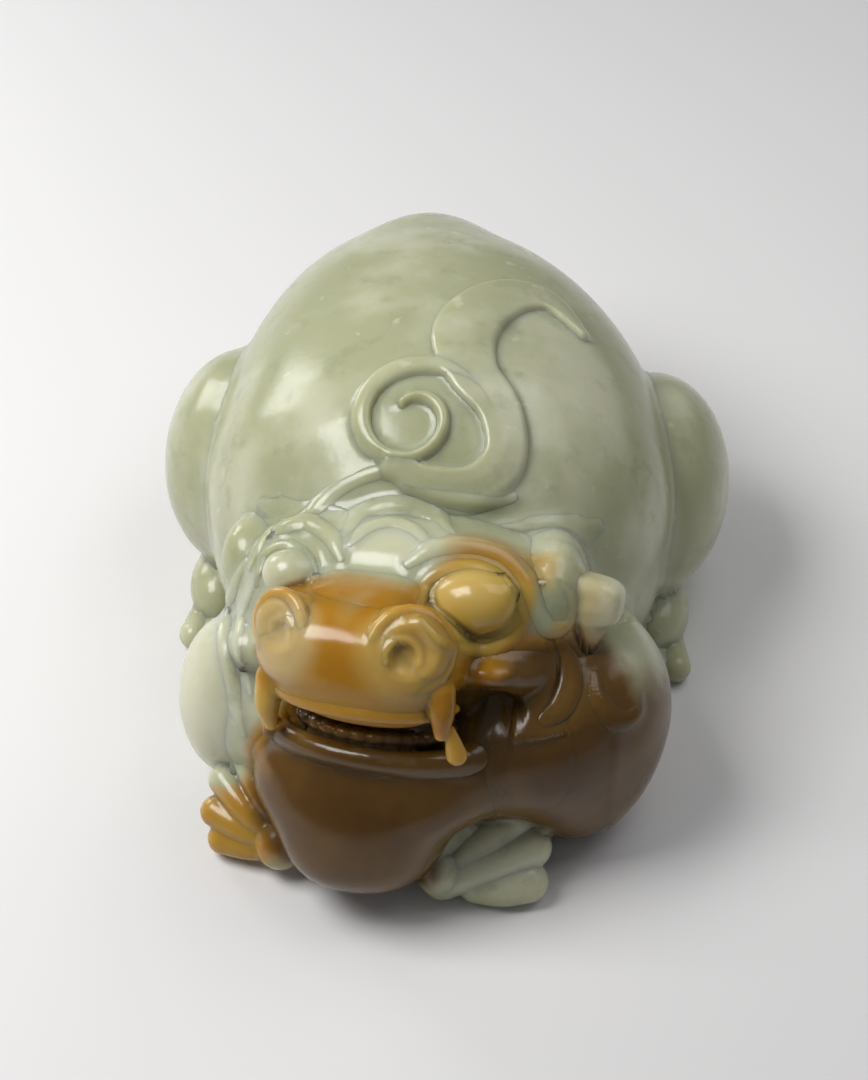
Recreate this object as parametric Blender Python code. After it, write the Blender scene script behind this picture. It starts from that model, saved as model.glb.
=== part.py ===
"""Crouching guardian beast carved from jade, as carved forms seated on one another.

Metres, +Z up. The beast faces -Y, and left and right are the beast's own sides (left is +X).
The origin is on the flat belly, under the middle of the torso.
"""
import math

import bmesh
import bpy
from mathutils import Matrix, Vector

OBJECT_NAME = "jade_figurine"
MM = 0.001
SEAT_GAP = 0.3 * MM
WELD = 0.001 * MM
LEFT = 1
RIGHT = -1

# Torso: an egg with a long rear half, swaying to one side at the rump
TORSO_HALF_WIDTH = 19.0 * MM
TORSO_HALF_HEIGHT = 16.0 * MM
TORSO_CENTRE_HEIGHT = 15.0 * MM
TORSO_REAR = 28.0 * MM
TORSO_FRONT = 16.0 * MM
TORSO_SWAY = -3.2 * MM
BELLY_FULLNESS = 3.5

# Legs: the hind ones are set from the torso's side
HAUNCH_INSET = 1.8
HAUNCH_SIZE = (6.7, 9.5, 9.3)
HAUNCH_PLACE = (TORSO_HALF_WIDTH / MM - HAUNCH_INSET, 7.0, 10.5)
HIND_PALM_OUTSET = -0.3
HIND_PALM_SIZE = (2.6, 4.0, 2.6)
HIND_PALM_PLACE = (TORSO_HALF_WIDTH / MM + HIND_PALM_OUTSET, -0.2, 2.5)
HIND_TOE_LENGTH = 5.0
HIND_TOE_RADIUS = 1.15
HIND_TOE_SPREAD = 1.7
SHOULDER_SIZE = {LEFT: (5.0, 6.5, 8.3), RIGHT: (4.3, 5.6, 7.6)}
SHOULDER_PLACE = {LEFT: (14.9, -17.2, 9.2), RIGHT: (-15.0, -17.0, 8.4)}
CHEST_SIZE = (13.5, 9.5, 6.6)
CHEST_PLACE = (-1.0, -16.0, 7.0)
FORE_WRIST = {LEFT: (2.6, -28.4, 2.4), RIGHT: (-10.2, -27.2, 2.8)}
FORE_TOE_TIPS = {
    LEFT: ((9.3, -28.3, 1.7), (9.4, -26.4, 3.7), (8.9, -24.0, 5.8)),
    RIGHT: ((-14.9, -26.2, 1.6), (-15.6, -24.8, 3.2), (-15.1, -23.0, 5.0), (-13.4, -21.8, 6.8)),
}
FORE_TOE_RADIUS = {LEFT: 1.7, RIGHT: 1.35}
FORE_PALM_RADIUS = {LEFT: 2.3, RIGHT: 2.2}
TOE_TAPER = 0.3

# Head: its middle, and how far it turns aside, lifts and leans
HEAD_PLACE = (-2.0, -17.5, 17.0)
HEAD_TURN = 15.0
HEAD_LIFT = 30.0
HEAD_LEAN = 10.0

# Head forms as half sizes (across, along the face, up) and places (left, ahead, up) in the head
SKULL_SIZE = (12.2, 7.2, 7.2)
SKULL_PLACE = (0.0, 0.0, 2.0)
SKULL_SQUARENESS = 0.8
MUZZLE_SIZE = (8.6, 5.6, 3.4)
MUZZLE_PLACE = (0.0, 7.2, 1.6)
MUZZLE_SQUARENESS = 0.7
JAW_SIZE = (8.4, 7.4, 6.4)
JAW_PLACE = (-0.6, 2.5, -12.6)
JAW_SQUARENESS = 0.7
CHEEK_SIZE = (5.0, 5.6, 5.6)
CHEEK_PLACE = (10.0, -1.2, -6.4)
MANE_SIZE = (2.9, 4.6, 6.4)
MANE_PLACE = (12.0, -3.6, 1.2)
EAR_SIZE = (1.7, 2.2, 3.7)
EAR_PLACE = (14.9, -2.8, 3.8)
EYE_SIZE = (3.1, 2.5, 2.5)
EYE_PLACE = (7.0, 5.0, 6.0)
NOSTRIL_SIZE = (3.0, 2.3, 2.6)
NOSTRIL_PLACE = (5.4, 10.3, 4.0)
BRIDGE_SIZE = (3.4, 4.2, 1.7)
BRIDGE_PLACE = (-0.6, 6.4, 5.2)
TONGUE_SIZE = (4.2, 4.2, 1.3)
TONGUE_PLACE = (-0.4, 2.6, -5.6)

# Bands laid on the head
BROW_PATH = (
    (2.3, 3.2, 7.6), (4.4, 2.6, 8.9), (7.2, 2.0, 9.2), (9.8, 1.6, 8.2),
    (11.8, 1.0, 6.3), (12.6, 0.6, 4.4), (11.6, 1.2, 3.2),
)
BROW_RADII = (0.7, 1.2, 1.4, 1.4, 1.2, 1.0, 0.6)
CREST_PATH = ((-5.6, 0.4, 9.2), (-2.6, 1.0, 9.9), (0.6, 1.0, 10.0), (4.2, 0.4, 9.2))
CREST_RADII = (0.7, 1.5, 1.5, 0.7)
UPPER_LIP = {"half_width": 8.0, "reach": 5.2, "ahead": 7.0, "height": -1.0, "radius": 1.1}
LOWER_LIP = {"half_width": 6.9, "reach": 6.2, "ahead": 2.6, "height": -7.2, "radius": 1.0}
UPPER_TEETH = {"half_width": 5.6, "reach": 4.4, "ahead": 6.0, "height": -2.4, "radius": 0.8}
LOWER_TEETH = {"half_width": 5.2, "reach": 5.0, "ahead": 2.6, "height": -6.1, "radius": 0.8}
LIP_SWEEP = 170.0
TEETH_SWEEP = 110.0
ROW_POINTS = 9
ROW_END = 0.55
UPPER_FANG = ((7.0, 9.4, -1.4), (6.7, 9.6, -5.4))
LOWER_FANG = ((6.6, 5.6, -6.8), (7.4, 6.6, -2.6))
UPPER_FANG_RADIUS = 1.2
LOWER_FANG_RADIUS = 0.9
FANG_TAPER = -0.45

# Tail and its curl laid on the back by plan position, mane strands by shares of the torso
TAIL_PLAN = (
    (10.9, 6.7), (7.7, 9.4), (4.2, 7.7), (1.8, 3.1), (2.5, -1.3),
    (5.0, -4.5), (5.7, -7.9), (3.6, -10.2), (0.6, -10.4),
)
TAIL_RADII = (1.0, 1.8, 2.4, 2.7, 2.3, 1.9, 1.8, 1.5, 0.9)
BACK_RELIEF = 1.0
STRAND_SHARES = (
    ((0.21, -0.66), (0.45, -0.61), (0.66, -0.48)),
    ((0.34, -0.76), (0.55, -0.68), (0.70, -0.56)),
)
STRAND_RADII = (0.9, 1.4, 0.8)
CURL_CENTRE = (-1.6, -5.6)
CURL_HALF_SIZE = (4.6, 3.6)
CURL_TURNS = 1.3
CURL_START = -120.0
CURL_END_SHARE = 0.3
CURL_POINTS = 20
CURL_RADIUS = 0.8
RUMP_SIZE = (4.2, 4.0, 2.4)
RUMP_SHARE = 0.84
RUMP_SINK = 1.2

# Mesh points around and from pole to pole, and along bands
BODY_POINTS = (40, 22)
FORM_POINTS = (24, 14)
SMALL_POINTS = (16, 10)
BAND_SIDE_POINTS = 2
BAND_STEP_POINTS = 4

# Finishes as linear colour
CELADON = (0.30, 0.33, 0.22)
PALE_CELADON = (0.40, 0.42, 0.31)
HONEY = (0.36, 0.20, 0.055)
RUSSET = (0.17, 0.085, 0.026)
GOLD = (0.42, 0.25, 0.06)
JADE_ROUGHNESS = 0.22

FLAT = Matrix()


def millimetres(values):
    """Return a vector in metres from values in millimetres."""
    return Vector(values) * MM


def head_frame():
    """Return the matrix from head places (left, back, up) to the world."""
    turn = Matrix.Rotation(math.radians(-HEAD_TURN), 4, "Z")
    lift = Matrix.Rotation(math.radians(-HEAD_LIFT), 4, "X")
    lean = Matrix.Rotation(math.radians(-HEAD_LEAN), 4, "Y")
    return Matrix.Translation(millimetres(HEAD_PLACE)) @ turn @ lift @ lean


def in_head(place, side=LEFT):
    """Return a head vector from (left, ahead, up) in millimetres, mirrored for the right side."""
    left, ahead, up = place
    return Vector((left * side, -ahead, up)) * MM


def clear_scene():
    """Remove every object and collection that the new file starts with."""
    for item in list(bpy.data.objects):
        bpy.data.objects.remove(item)
    for group in list(bpy.data.collections):
        bpy.data.collections.remove(group)


def new_collection(name):
    """Return a new collection under the scene."""
    group = bpy.data.collections.new(name)
    bpy.context.scene.collection.children.link(group)
    return group


def jade_material(name, colour):
    """Return a polished stone material of one colour."""
    material = bpy.data.materials.new(name)
    material.use_nodes = True
    shader = material.node_tree.nodes["Principled BSDF"]
    shader.inputs["Base Color"].default_value = (*colour, 1.0)
    shader.inputs["Roughness"].default_value = JADE_ROUGHNESS
    shader.inputs["Metallic"].default_value = 0.0
    return material


def shaped_sphere(name, shape, detail):
    """Return a closed sphere mesh whose unit points are moved by shape."""
    turns, rings = detail
    work = bmesh.new()
    bmesh.ops.create_uvsphere(work, u_segments=turns, v_segments=rings, radius=1.0)
    for vertex in work.verts:
        vertex.co = shape(vertex.co.copy())
    return finished_mesh(name, work)


def finished_mesh(name, work):
    """Return a smooth mesh from the bmesh."""
    for face in work.faces:
        face.smooth = True
    mesh = bpy.data.meshes.new(name)
    work.to_mesh(mesh)
    work.free()
    return mesh


def squared(value, squareness):
    """Return a unit coordinate pushed outward, so a ball turns towards a box."""
    return math.copysign(abs(value) ** squareness, value)


def ball_mesh(name, size, detail, squareness=1.0):
    """Return an ellipsoid, squared off by the exponent, about its own middle."""
    half = millimetres(size)

    def shape(point):
        return Vector([half[axis] * squared(point[axis], squareness) for axis in range(3)])

    return shaped_sphere(name, shape, detail)


def drop_mesh(name, start, end, radius, taper, detail):
    """Return a drop from start to end, fatter towards its end when taper is positive."""
    along = (end - start) / 2
    middle = (start + end) / 2
    turn = along.to_track_quat("Z", "Y")
    length = along.length + radius

    def shape(point):
        girth = radius * (1 + taper * point.z)
        return middle + turn @ Vector((girth * point.x, girth * point.y, length * point.z))

    return shaped_sphere(name, shape, detail)


def band_mesh(name, points, radii):
    """Return a closed tube through the points, with one radius at each."""
    curve = bpy.data.curves.new(name + "_path", "CURVE")
    curve.dimensions = "3D"
    curve.bevel_depth = MM
    curve.bevel_resolution = BAND_SIDE_POINTS
    curve.use_fill_caps = True
    curve.resolution_u = BAND_STEP_POINTS
    spline = curve.splines.new("BEZIER")
    spline.bezier_points.add(len(points) - 1)
    for knot, point, radius in zip(spline.bezier_points, points, radii):
        knot.co = point
        knot.radius = radius
        knot.handle_left_type = "AUTO"
        knot.handle_right_type = "AUTO"
    holder = bpy.data.objects.new(name + "_path", curve)
    bpy.context.scene.collection.objects.link(holder)
    graph = bpy.context.evaluated_depsgraph_get()
    swept = bpy.data.meshes.new_from_object(holder.evaluated_get(graph))
    work = bmesh.new()
    work.from_mesh(swept)
    bmesh.ops.remove_doubles(work, verts=work.verts, dist=WELD)
    if work.calc_volume(signed=True) < 0:
        bmesh.ops.reverse_faces(work, faces=work.faces)
    bpy.data.objects.remove(holder)
    return finished_mesh(name, work)


def stand_on_floor(mesh, matrix):
    """Flatten whatever part of the placed mesh would go below the floor."""
    back = matrix.inverted()
    for vertex in mesh.vertices:
        place = matrix @ vertex.co
        if place.z < 0:
            place.z = 0
            vertex.co = back @ place


def world_box(mesh, matrix):
    """Return the lowest and highest corners of the placed mesh."""
    places = [matrix @ vertex.co for vertex in mesh.vertices]
    low = Vector([min(place[axis] for place in places) for axis in range(3)])
    high = Vector([max(place[axis] for place in places) for axis in range(3)])
    return low, high


def boxes_meet(first, second):
    """Say whether two world boxes come within the seat gap of each other."""
    return all(
        first[0][axis] < second[1][axis] + SEAT_GAP and second[0][axis] < first[1][axis] + SEAT_GAP
        for axis in range(3)
    )


class Carving:
    """The forms of the beast in the order they are seated on one another."""

    def __init__(self):
        self.parts = new_collection(OBJECT_NAME)
        self.cutters = new_collection("cutters")
        self.seated = []

    def add(self, name, colour, mesh, matrix=FLAT, joined=(), crossing=False):
        """Add a form, joined from its meshes, and cut it back from every earlier form.

        crossing says that the mesh overlaps itself, as a wide band does in a tight bend.
        """
        meshes = (mesh, *joined)
        for item in meshes:
            stand_on_floor(item, matrix)
        part = bpy.data.objects.new(name, mesh)
        part.matrix_world = matrix
        part.data.materials.append(jade_material(name + "_jade", colour))
        self.parts.objects.link(part)
        for item in joined:
            self.boolean(part, self.helper(item.name, item, matrix), "UNION", crossing)
        boxes = [world_box(item, matrix) for item in meshes]
        for seat, seat_box in self.seated:
            if any(boxes_meet(box, seat_box) for box in boxes):
                self.boolean(part, seat, "DIFFERENCE", crossing)
        for item, box in zip(meshes, boxes):
            seat = self.helper(item.name + "_seat", item, matrix)
            grow = seat.modifiers.new("gap", "DISPLACE")
            grow.mid_level = 0.0
            grow.strength = SEAT_GAP
            self.seated.append((seat, box))

    def helper(self, name, mesh, matrix):
        """Return a hidden object that only shapes other objects."""
        helper = bpy.data.objects.new(name, mesh)
        helper.matrix_world = matrix
        helper.display_type = "WIRE"
        helper.hide_render = True
        self.cutters.objects.link(helper)
        return helper

    @staticmethod
    def boolean(part, other, operation, crossing):
        """Join or cut the part with the other object."""
        step = part.modifiers.new(other.name, "BOOLEAN")
        step.operation = operation
        step.solver = "EXACT"
        step.use_self = crossing
        step.object = other


def side_name(side):
    """Return the beast's own name for a side."""
    return "left" if side == LEFT else "right"


def belly_spread(height):
    """Return how much wider than a ball the torso is at a unit height, one above its middle."""
    if height >= 0 or height <= -1:
        return 1.0
    full = (1 - abs(height) ** BELLY_FULLNESS) ** (1 / BELLY_FULLNESS)
    return full / math.sqrt(1 - height ** 2)


def torso_point(point):
    """Return a torso surface point from a unit sphere point."""
    reach = TORSO_REAR if point.y > 0 else TORSO_FRONT
    sway = TORSO_SWAY * max(point.y, 0.0) ** 2
    spread = belly_spread(point.z)
    return Vector((
        TORSO_HALF_WIDTH * point.x * spread + sway,
        reach * point.y * spread,
        TORSO_CENTRE_HEIGHT + TORSO_HALF_HEIGHT * point.z,
    ))


def back_point(plan, sink):
    """Return the point under a plan place on the torso's back, sunk along the unit direction."""
    across, along = plan[0] * MM, plan[1] * MM
    reach = TORSO_REAR if along > 0 else TORSO_FRONT
    unit_y = along / reach
    unit_x = (across - TORSO_SWAY * max(unit_y, 0.0) ** 2) / TORSO_HALF_WIDTH
    unit_z = math.sqrt(max(1.0 - unit_x ** 2 - unit_y ** 2, 0.0))
    surface = torso_point(Vector((unit_x, unit_y, unit_z)))
    outward = Vector((unit_x / TORSO_HALF_WIDTH, unit_y / reach, unit_z / TORSO_HALF_HEIGHT))
    return surface - outward.normalized() * sink


def add_torso(carving):
    """Add the torso with its flat belly."""
    carving.add("torso", CELADON, shaped_sphere("torso", torso_point, BODY_POINTS))


def add_head_blocks(carving, head):
    """Add the skull, the muzzle, the lower jaw and the chest under them."""
    blocks = (
        ("skull", HONEY, SKULL_SIZE, SKULL_PLACE, SKULL_SQUARENESS),
        ("muzzle", HONEY, MUZZLE_SIZE, MUZZLE_PLACE, MUZZLE_SQUARENESS),
        ("lower_jaw", RUSSET, JAW_SIZE, JAW_PLACE, JAW_SQUARENESS),
    )
    for name, colour, size, place, squareness in blocks:
        matrix = head @ Matrix.Translation(in_head(place))
        carving.add(name, colour, ball_mesh(name, size, FORM_POINTS, squareness), matrix)
    place = Matrix.Translation(millimetres(CHEST_PLACE))
    carving.add("chest", CELADON, ball_mesh("chest", CHEST_SIZE, FORM_POINTS), place)


def add_haunch(carving, side):
    """Add one thigh against the flank."""
    name = "haunch_" + side_name(side)
    across, along, up = HAUNCH_PLACE
    place = Matrix.Translation(millimetres((across * side, along, up)))
    carving.add(name, CELADON, ball_mesh(name, HAUNCH_SIZE, FORM_POINTS), place)


def add_hind_paw(carving, side):
    """Add one hind paw with three toes pointing ahead."""
    name = "hind_paw_" + side_name(side)
    across, along, up = HIND_PALM_PLACE
    place = Matrix.Translation(millimetres((across * side, along, up)))
    toes = []
    for number in (-1, 0, 1):
        start = millimetres((number * HIND_TOE_SPREAD / 2, 0.0, HIND_TOE_RADIUS - up))
        end = start + millimetres((number * HIND_TOE_SPREAD / 2, -HIND_TOE_LENGTH, 0.0))
        label = f"{name}_toe_{number + 2}"
        toes.append(drop_mesh(label, start, end, HIND_TOE_RADIUS * MM, TOE_TAPER, SMALL_POINTS))
    carving.add(name, CELADON, ball_mesh(name, HIND_PALM_SIZE, SMALL_POINTS), place, toes)


def add_shoulder(carving, side):
    """Add one upper foreleg beside the head."""
    name = "shoulder_" + side_name(side)
    place = Matrix.Translation(millimetres(SHOULDER_PLACE[side]))
    colour = RUSSET if side == LEFT else PALE_CELADON
    carving.add(name, colour, ball_mesh(name, SHOULDER_SIZE[side], FORM_POINTS), place)


def add_fore_paw(carving, side):
    """Add one fore paw whose toes fan out from the wrist."""
    name = "fore_paw_" + side_name(side)
    wrist = millimetres(FORE_WRIST[side])
    radius = FORE_TOE_RADIUS[side] * MM
    toes = []
    for number, tip in enumerate(FORE_TOE_TIPS[side], 1):
        label = f"{name}_toe_{number}"
        toes.append(drop_mesh(label, wrist, millimetres(tip), radius, TOE_TAPER, SMALL_POINTS))
    palm_size = [FORE_PALM_RADIUS[side]] * 3
    palm = ball_mesh(name, palm_size, SMALL_POINTS)
    palm.transform(Matrix.Translation(wrist))
    colour = PALE_CELADON if side == LEFT else HONEY
    carving.add(name, colour, palm, FLAT, toes)


def add_face_balls(carving, head):
    """Add the paired rounded forms of the face, and the bridge of the nose."""
    pairs = (
        ("cheek", RUSSET, CHEEK_SIZE, CHEEK_PLACE),
        ("mane", CELADON, MANE_SIZE, MANE_PLACE),
        ("ear", PALE_CELADON, EAR_SIZE, EAR_PLACE),
        ("eye", GOLD, EYE_SIZE, EYE_PLACE),
        ("nostril", HONEY, NOSTRIL_SIZE, NOSTRIL_PLACE),
    )
    for label, colour, size, place in pairs:
        for side in (LEFT, RIGHT):
            name = f"{label}_{side_name(side)}"
            matrix = head @ Matrix.Translation(in_head(place, side))
            carving.add(name, colour, ball_mesh(name, size, SMALL_POINTS), matrix)
    matrix = head @ Matrix.Translation(in_head(BRIDGE_PLACE))
    carving.add("nose_bridge", RUSSET, ball_mesh("nose_bridge", BRIDGE_SIZE, SMALL_POINTS), matrix)


def add_hair(carving, head):
    """Add the brows and the crest over the forehead."""
    for side in (LEFT, RIGHT):
        name = "brow_" + side_name(side)
        path = [in_head(place, side) for place in BROW_PATH]
        carving.add(name, HONEY, band_mesh(name, path, BROW_RADII), head)
    crest = [in_head(place) for place in CREST_PATH]
    carving.add("crest", CELADON, band_mesh("crest", crest, CREST_RADII), head)


def row_mesh(name, row, sweep):
    """Return a band bent round the front of the mouth, thinner at its two ends."""
    points = []
    radii = []
    for number in range(ROW_POINTS):
        share = 2 * number / (ROW_POINTS - 1) - 1
        angle = math.radians(sweep / 2 * share)
        left = row["half_width"] * math.sin(angle)
        ahead = row["ahead"] + row["reach"] * math.cos(angle)
        points.append(in_head((left, ahead, row["height"])))
        radii.append(row["radius"] * (1 - (1 - ROW_END) * share ** 4))
    return band_mesh(name, points, radii)


def add_mouth(carving, head):
    """Add the lips, the fangs, the rows of teeth and the tongue."""
    carving.add("upper_lip", HONEY, row_mesh("upper_lip", UPPER_LIP, LIP_SWEEP), head)
    carving.add("lower_lip", RUSSET, row_mesh("lower_lip", LOWER_LIP, LIP_SWEEP), head)
    fangs = (
        ("upper_fang", UPPER_FANG, UPPER_FANG_RADIUS),
        ("lower_fang", LOWER_FANG, LOWER_FANG_RADIUS),
    )
    for label, ends, radius in fangs:
        for side in (LEFT, RIGHT):
            name = f"{label}_{side_name(side)}"
            start, end = [in_head(place, side) for place in ends]
            mesh = drop_mesh(name, start, end, radius * MM, FANG_TAPER, SMALL_POINTS)
            carving.add(name, GOLD, mesh, head)
    carving.add("upper_teeth", HONEY, row_mesh("upper_teeth", UPPER_TEETH, TEETH_SWEEP), head)
    carving.add("lower_teeth", HONEY, row_mesh("lower_teeth", LOWER_TEETH, TEETH_SWEEP), head)
    place = head @ Matrix.Translation(in_head(TONGUE_PLACE))
    carving.add("tongue", RUSSET, ball_mesh("tongue", TONGUE_SIZE, SMALL_POINTS), place)


def laid_band(name, plans, radii):
    """Return a band laid along plan places on the back, sunk to stand out by the relief."""
    sinks = [(radius - BACK_RELIEF) * MM for radius in radii]
    points = [back_point(plan, sink) for plan, sink in zip(plans, sinks)]
    return band_mesh(name, points, radii)


def add_strands(carving):
    """Add the mane strands that run back over each shoulder."""
    for side in (LEFT, RIGHT):
        for number, shares in enumerate(STRAND_SHARES, 1):
            name = f"strand_{side_name(side)}_{number}"
            plans = [
                (across * side * TORSO_HALF_WIDTH / MM, along * TORSO_FRONT / MM)
                for across, along in shares
            ]
            band = laid_band(name, plans, STRAND_RADII)
            carving.add(name, CELADON, band, crossing=True)


def add_tail(carving):
    """Add the tail ribbon on the back, its curl and the knob of the rump."""
    ribbon = laid_band("tail", TAIL_PLAN, TAIL_RADII)
    carving.add("tail", PALE_CELADON, ribbon, crossing=True)
    plans = []
    for number in range(CURL_POINTS):
        share = number / (CURL_POINTS - 1)
        angle = math.radians(CURL_START) - 2 * math.pi * CURL_TURNS * share
        scale = 1 - (1 - CURL_END_SHARE) * share
        across = CURL_CENTRE[0] + CURL_HALF_SIZE[0] * scale * math.cos(angle)
        along = CURL_CENTRE[1] + CURL_HALF_SIZE[1] * scale * math.sin(angle)
        plans.append((across, along))
    radii = [CURL_RADIUS] * CURL_POINTS
    curl = laid_band("tail_curl", plans, radii)
    carving.add("tail_curl", PALE_CELADON, curl, crossing=True)
    rump = torso_point(Vector((0.0, RUMP_SHARE, math.sqrt(1 - RUMP_SHARE ** 2))))
    place = Matrix.Translation(rump - Vector((0.0, 0.0, RUMP_SINK * MM)))
    carving.add("rump_knob", CELADON, ball_mesh("rump_knob", RUMP_SIZE, SMALL_POINTS), place)


def main():
    """Build the beast from the torso outward."""
    clear_scene()
    head = head_frame()
    carving = Carving()
    add_torso(carving)
    add_head_blocks(carving, head)
    for side in (LEFT, RIGHT):
        add_haunch(carving, side)
        add_hind_paw(carving, side)
        add_shoulder(carving, side)
        add_fore_paw(carving, side)
    add_face_balls(carving, head)
    add_hair(carving, head)
    add_mouth(carving, head)
    add_tail(carving)
    add_strands(carving)


main()
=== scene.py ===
"""Looks of the jade figurine: a crouching guardian beast carved from one two-tone stone.

Every carved form is a surface wrapped round its own spine, out to where the carving's common
field is zero, so neighbouring forms flow into each other as polished stone does.
Sizes are in millimetres in the CAD's frame: the beast faces -Y and its own left is +X.
"""
from __future__ import annotations

import logging
import math
from dataclasses import dataclass, field
from enum import Enum
from functools import lru_cache
from typing import Any, Protocol, Sequence

import bpy
import numpy as np
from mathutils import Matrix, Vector

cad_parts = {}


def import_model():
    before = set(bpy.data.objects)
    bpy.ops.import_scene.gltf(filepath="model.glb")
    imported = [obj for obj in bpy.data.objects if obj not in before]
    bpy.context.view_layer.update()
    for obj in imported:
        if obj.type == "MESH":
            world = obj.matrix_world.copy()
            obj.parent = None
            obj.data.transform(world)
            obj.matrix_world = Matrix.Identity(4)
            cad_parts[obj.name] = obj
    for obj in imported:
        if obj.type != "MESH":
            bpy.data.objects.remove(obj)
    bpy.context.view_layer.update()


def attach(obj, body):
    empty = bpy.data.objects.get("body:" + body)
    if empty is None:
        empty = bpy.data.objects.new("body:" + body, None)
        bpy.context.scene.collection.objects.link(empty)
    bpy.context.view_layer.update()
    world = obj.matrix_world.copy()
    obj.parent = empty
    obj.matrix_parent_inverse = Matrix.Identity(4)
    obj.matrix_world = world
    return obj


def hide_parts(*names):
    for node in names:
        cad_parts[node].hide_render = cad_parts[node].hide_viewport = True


LOG = logging.getLogger("jade_figurine")
MM = 0.001
# Limits that keep the distances safe: against division by nothing, and in millimetres
TINY = 1e-9
SHORTEST = 1e-12
THINNEST = 0.05
CLOSE = 2.0
NOWHERE = 1e3
# A path that climbs more steeply than this is guided by X instead of Z
STEEP = 0.8
Point = tuple[float, float, float]
Plan = tuple[float, float]
Array = np.ndarray


class Frame(Enum):
    """The two frames that forms are described in."""

    BODY = "body"
    HEAD = "head"


class Side(Enum):
    """The beast's own sides, with the sign of X."""

    LEFT = 1
    RIGHT = -1

    @property
    def word(self) -> str:
        """The side as node names spell it."""
        return self.name.lower()


@dataclass(frozen=True)
class HeadPose:
    """Where the head sits and how it turns.

    A head place is (left, ahead, up). Its world place is the middle plus left, ahead and up
    steps along three unit vectors, turned aside, lifted and leaned in that order.
    """

    middle: Point = (-2.0, -17.5, 17.0)
    turn: float = 15.0
    lift: float = 30.0
    lean: float = 10.0

    def axes(self) -> Array:
        """Return the head's own axes.

        Returns:
            The left, ahead and up unit vectors as rows.
        """
        turn, lift, lean = np.radians([self.turn, self.lift, self.lean])
        ahead = np.array([-math.sin(turn), -math.cos(turn), 0.0])
        left = np.array([math.cos(turn), -math.sin(turn), 0.0])
        up = np.array([0.0, 0.0, 1.0])
        ahead, up = ahead * math.cos(lift) + up * math.sin(lift), up * math.cos(lift) - ahead * math.sin(lift)
        left, up = left * math.cos(lean) + up * math.sin(lean), up * math.cos(lean) - left * math.sin(lean)
        return np.array([left, ahead, up])

    def to_world(self, places: Any) -> Array:
        """Return world points of head places."""
        return np.asarray(self.middle) + np.asarray(places, float) @ self.axes()

    def to_head(self, points: Array) -> Array:
        """Return head places of world points."""
        return (points - np.asarray(self.middle)) @ self.axes().T


POSE = HeadPose()


def in_frame(points: Array, frame: Frame) -> Array:
    """Return world points in the asked frame."""
    return POSE.to_head(points) if frame is Frame.HEAD else points


def to_world(places: Any, frame: Frame) -> Array:
    """Return world points of places in the given frame."""
    return POSE.to_world(places) if frame is Frame.HEAD else np.asarray(places, float)


def rows(values: Array) -> tuple:
    """Return an array's rows as plain tuples."""
    return tuple(map(tuple, values.tolist()))


def smooth_min(first: Array, second: Array, width: float) -> Array:
    """Return the lower of two distances, rounded where they are within the width of each other."""
    share = np.clip(0.5 + 0.5 * (second - first) / width, 0.0, 1.0)
    return second + (first - second) * share - width * share * (1.0 - share)


def smooth_max(first: Array, second: Array, width: float) -> Array:
    """Return the higher of two distances, rounded where they are within the width of each other."""
    return -smooth_min(-first, -second, width)


def smooth_step(low: float, high: float, values: Array) -> Array:
    """Return 0 below low, 1 above high and a smooth cubic between."""
    share = np.clip((values - low) / (high - low), 0.0, 1.0)
    return share * share * (3.0 - 2.0 * share)


@lru_cache(maxsize=None)
def flowing_path(points: tuple, count: int) -> Array:
    """Return points evenly spaced in parameter along a Catmull-Rom curve through the given points.

    Args:
        points: two or more points in two or three dimensions, or rows of other values.
        count: how many samples to return.

    Returns:
        One row for each sample.
    """
    knots = np.asarray(points, float)
    knots = knots[:, None] if knots.ndim == 1 else knots
    padded = np.vstack([2 * knots[0] - knots[1], knots, 2 * knots[-1] - knots[-2]])
    where = np.linspace(0.0, len(knots) - 1.0, count)
    index = np.minimum(where.astype(int), len(knots) - 2)
    share = (where - index)[:, None]
    p0, p1, p2, p3 = (padded[index + step] for step in range(4))
    return 0.5 * (
        2 * p1 + (p2 - p0) * share + (2 * p0 - 5 * p1 + 4 * p2 - p3) * share ** 2
        + (3 * p1 - p0 - 3 * p2 + p3) * share ** 3
    )


def path_distance(points: Array, path: Array, widths: Array) -> Array:
    """Return the least of (distance to each segment minus the width there).

    Args:
        points: rows of two or three coordinates.
        path: the path's points in the same coordinates.
        widths: the half width at each path point.

    Returns:
        One distance for each point, negative inside the path's width.
    """
    best = np.full(len(points), np.inf)
    for start, end, low, high in zip(path[:-1], path[1:], widths[:-1], widths[1:]):
        along = end - start
        share = np.clip((points - start) @ along / max(along @ along, SHORTEST), 0.0, 1.0)
        gap = points - start - share[:, None] * along
        reach = np.sqrt(np.einsum("ij,ij->i", gap, gap)) - (low + (high - low) * share)
        np.minimum(best, reach, out=best)
    return best


class Shape(Protocol):
    """Anything that gives a signed distance at places in its form's frame."""

    def box(self) -> tuple[Array, Array]:
        """Return the lowest and highest corners that hold the shape."""

    def distance(self, places: Array) -> Array:
        """Return about the distance to the surface, negative inside."""


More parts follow.
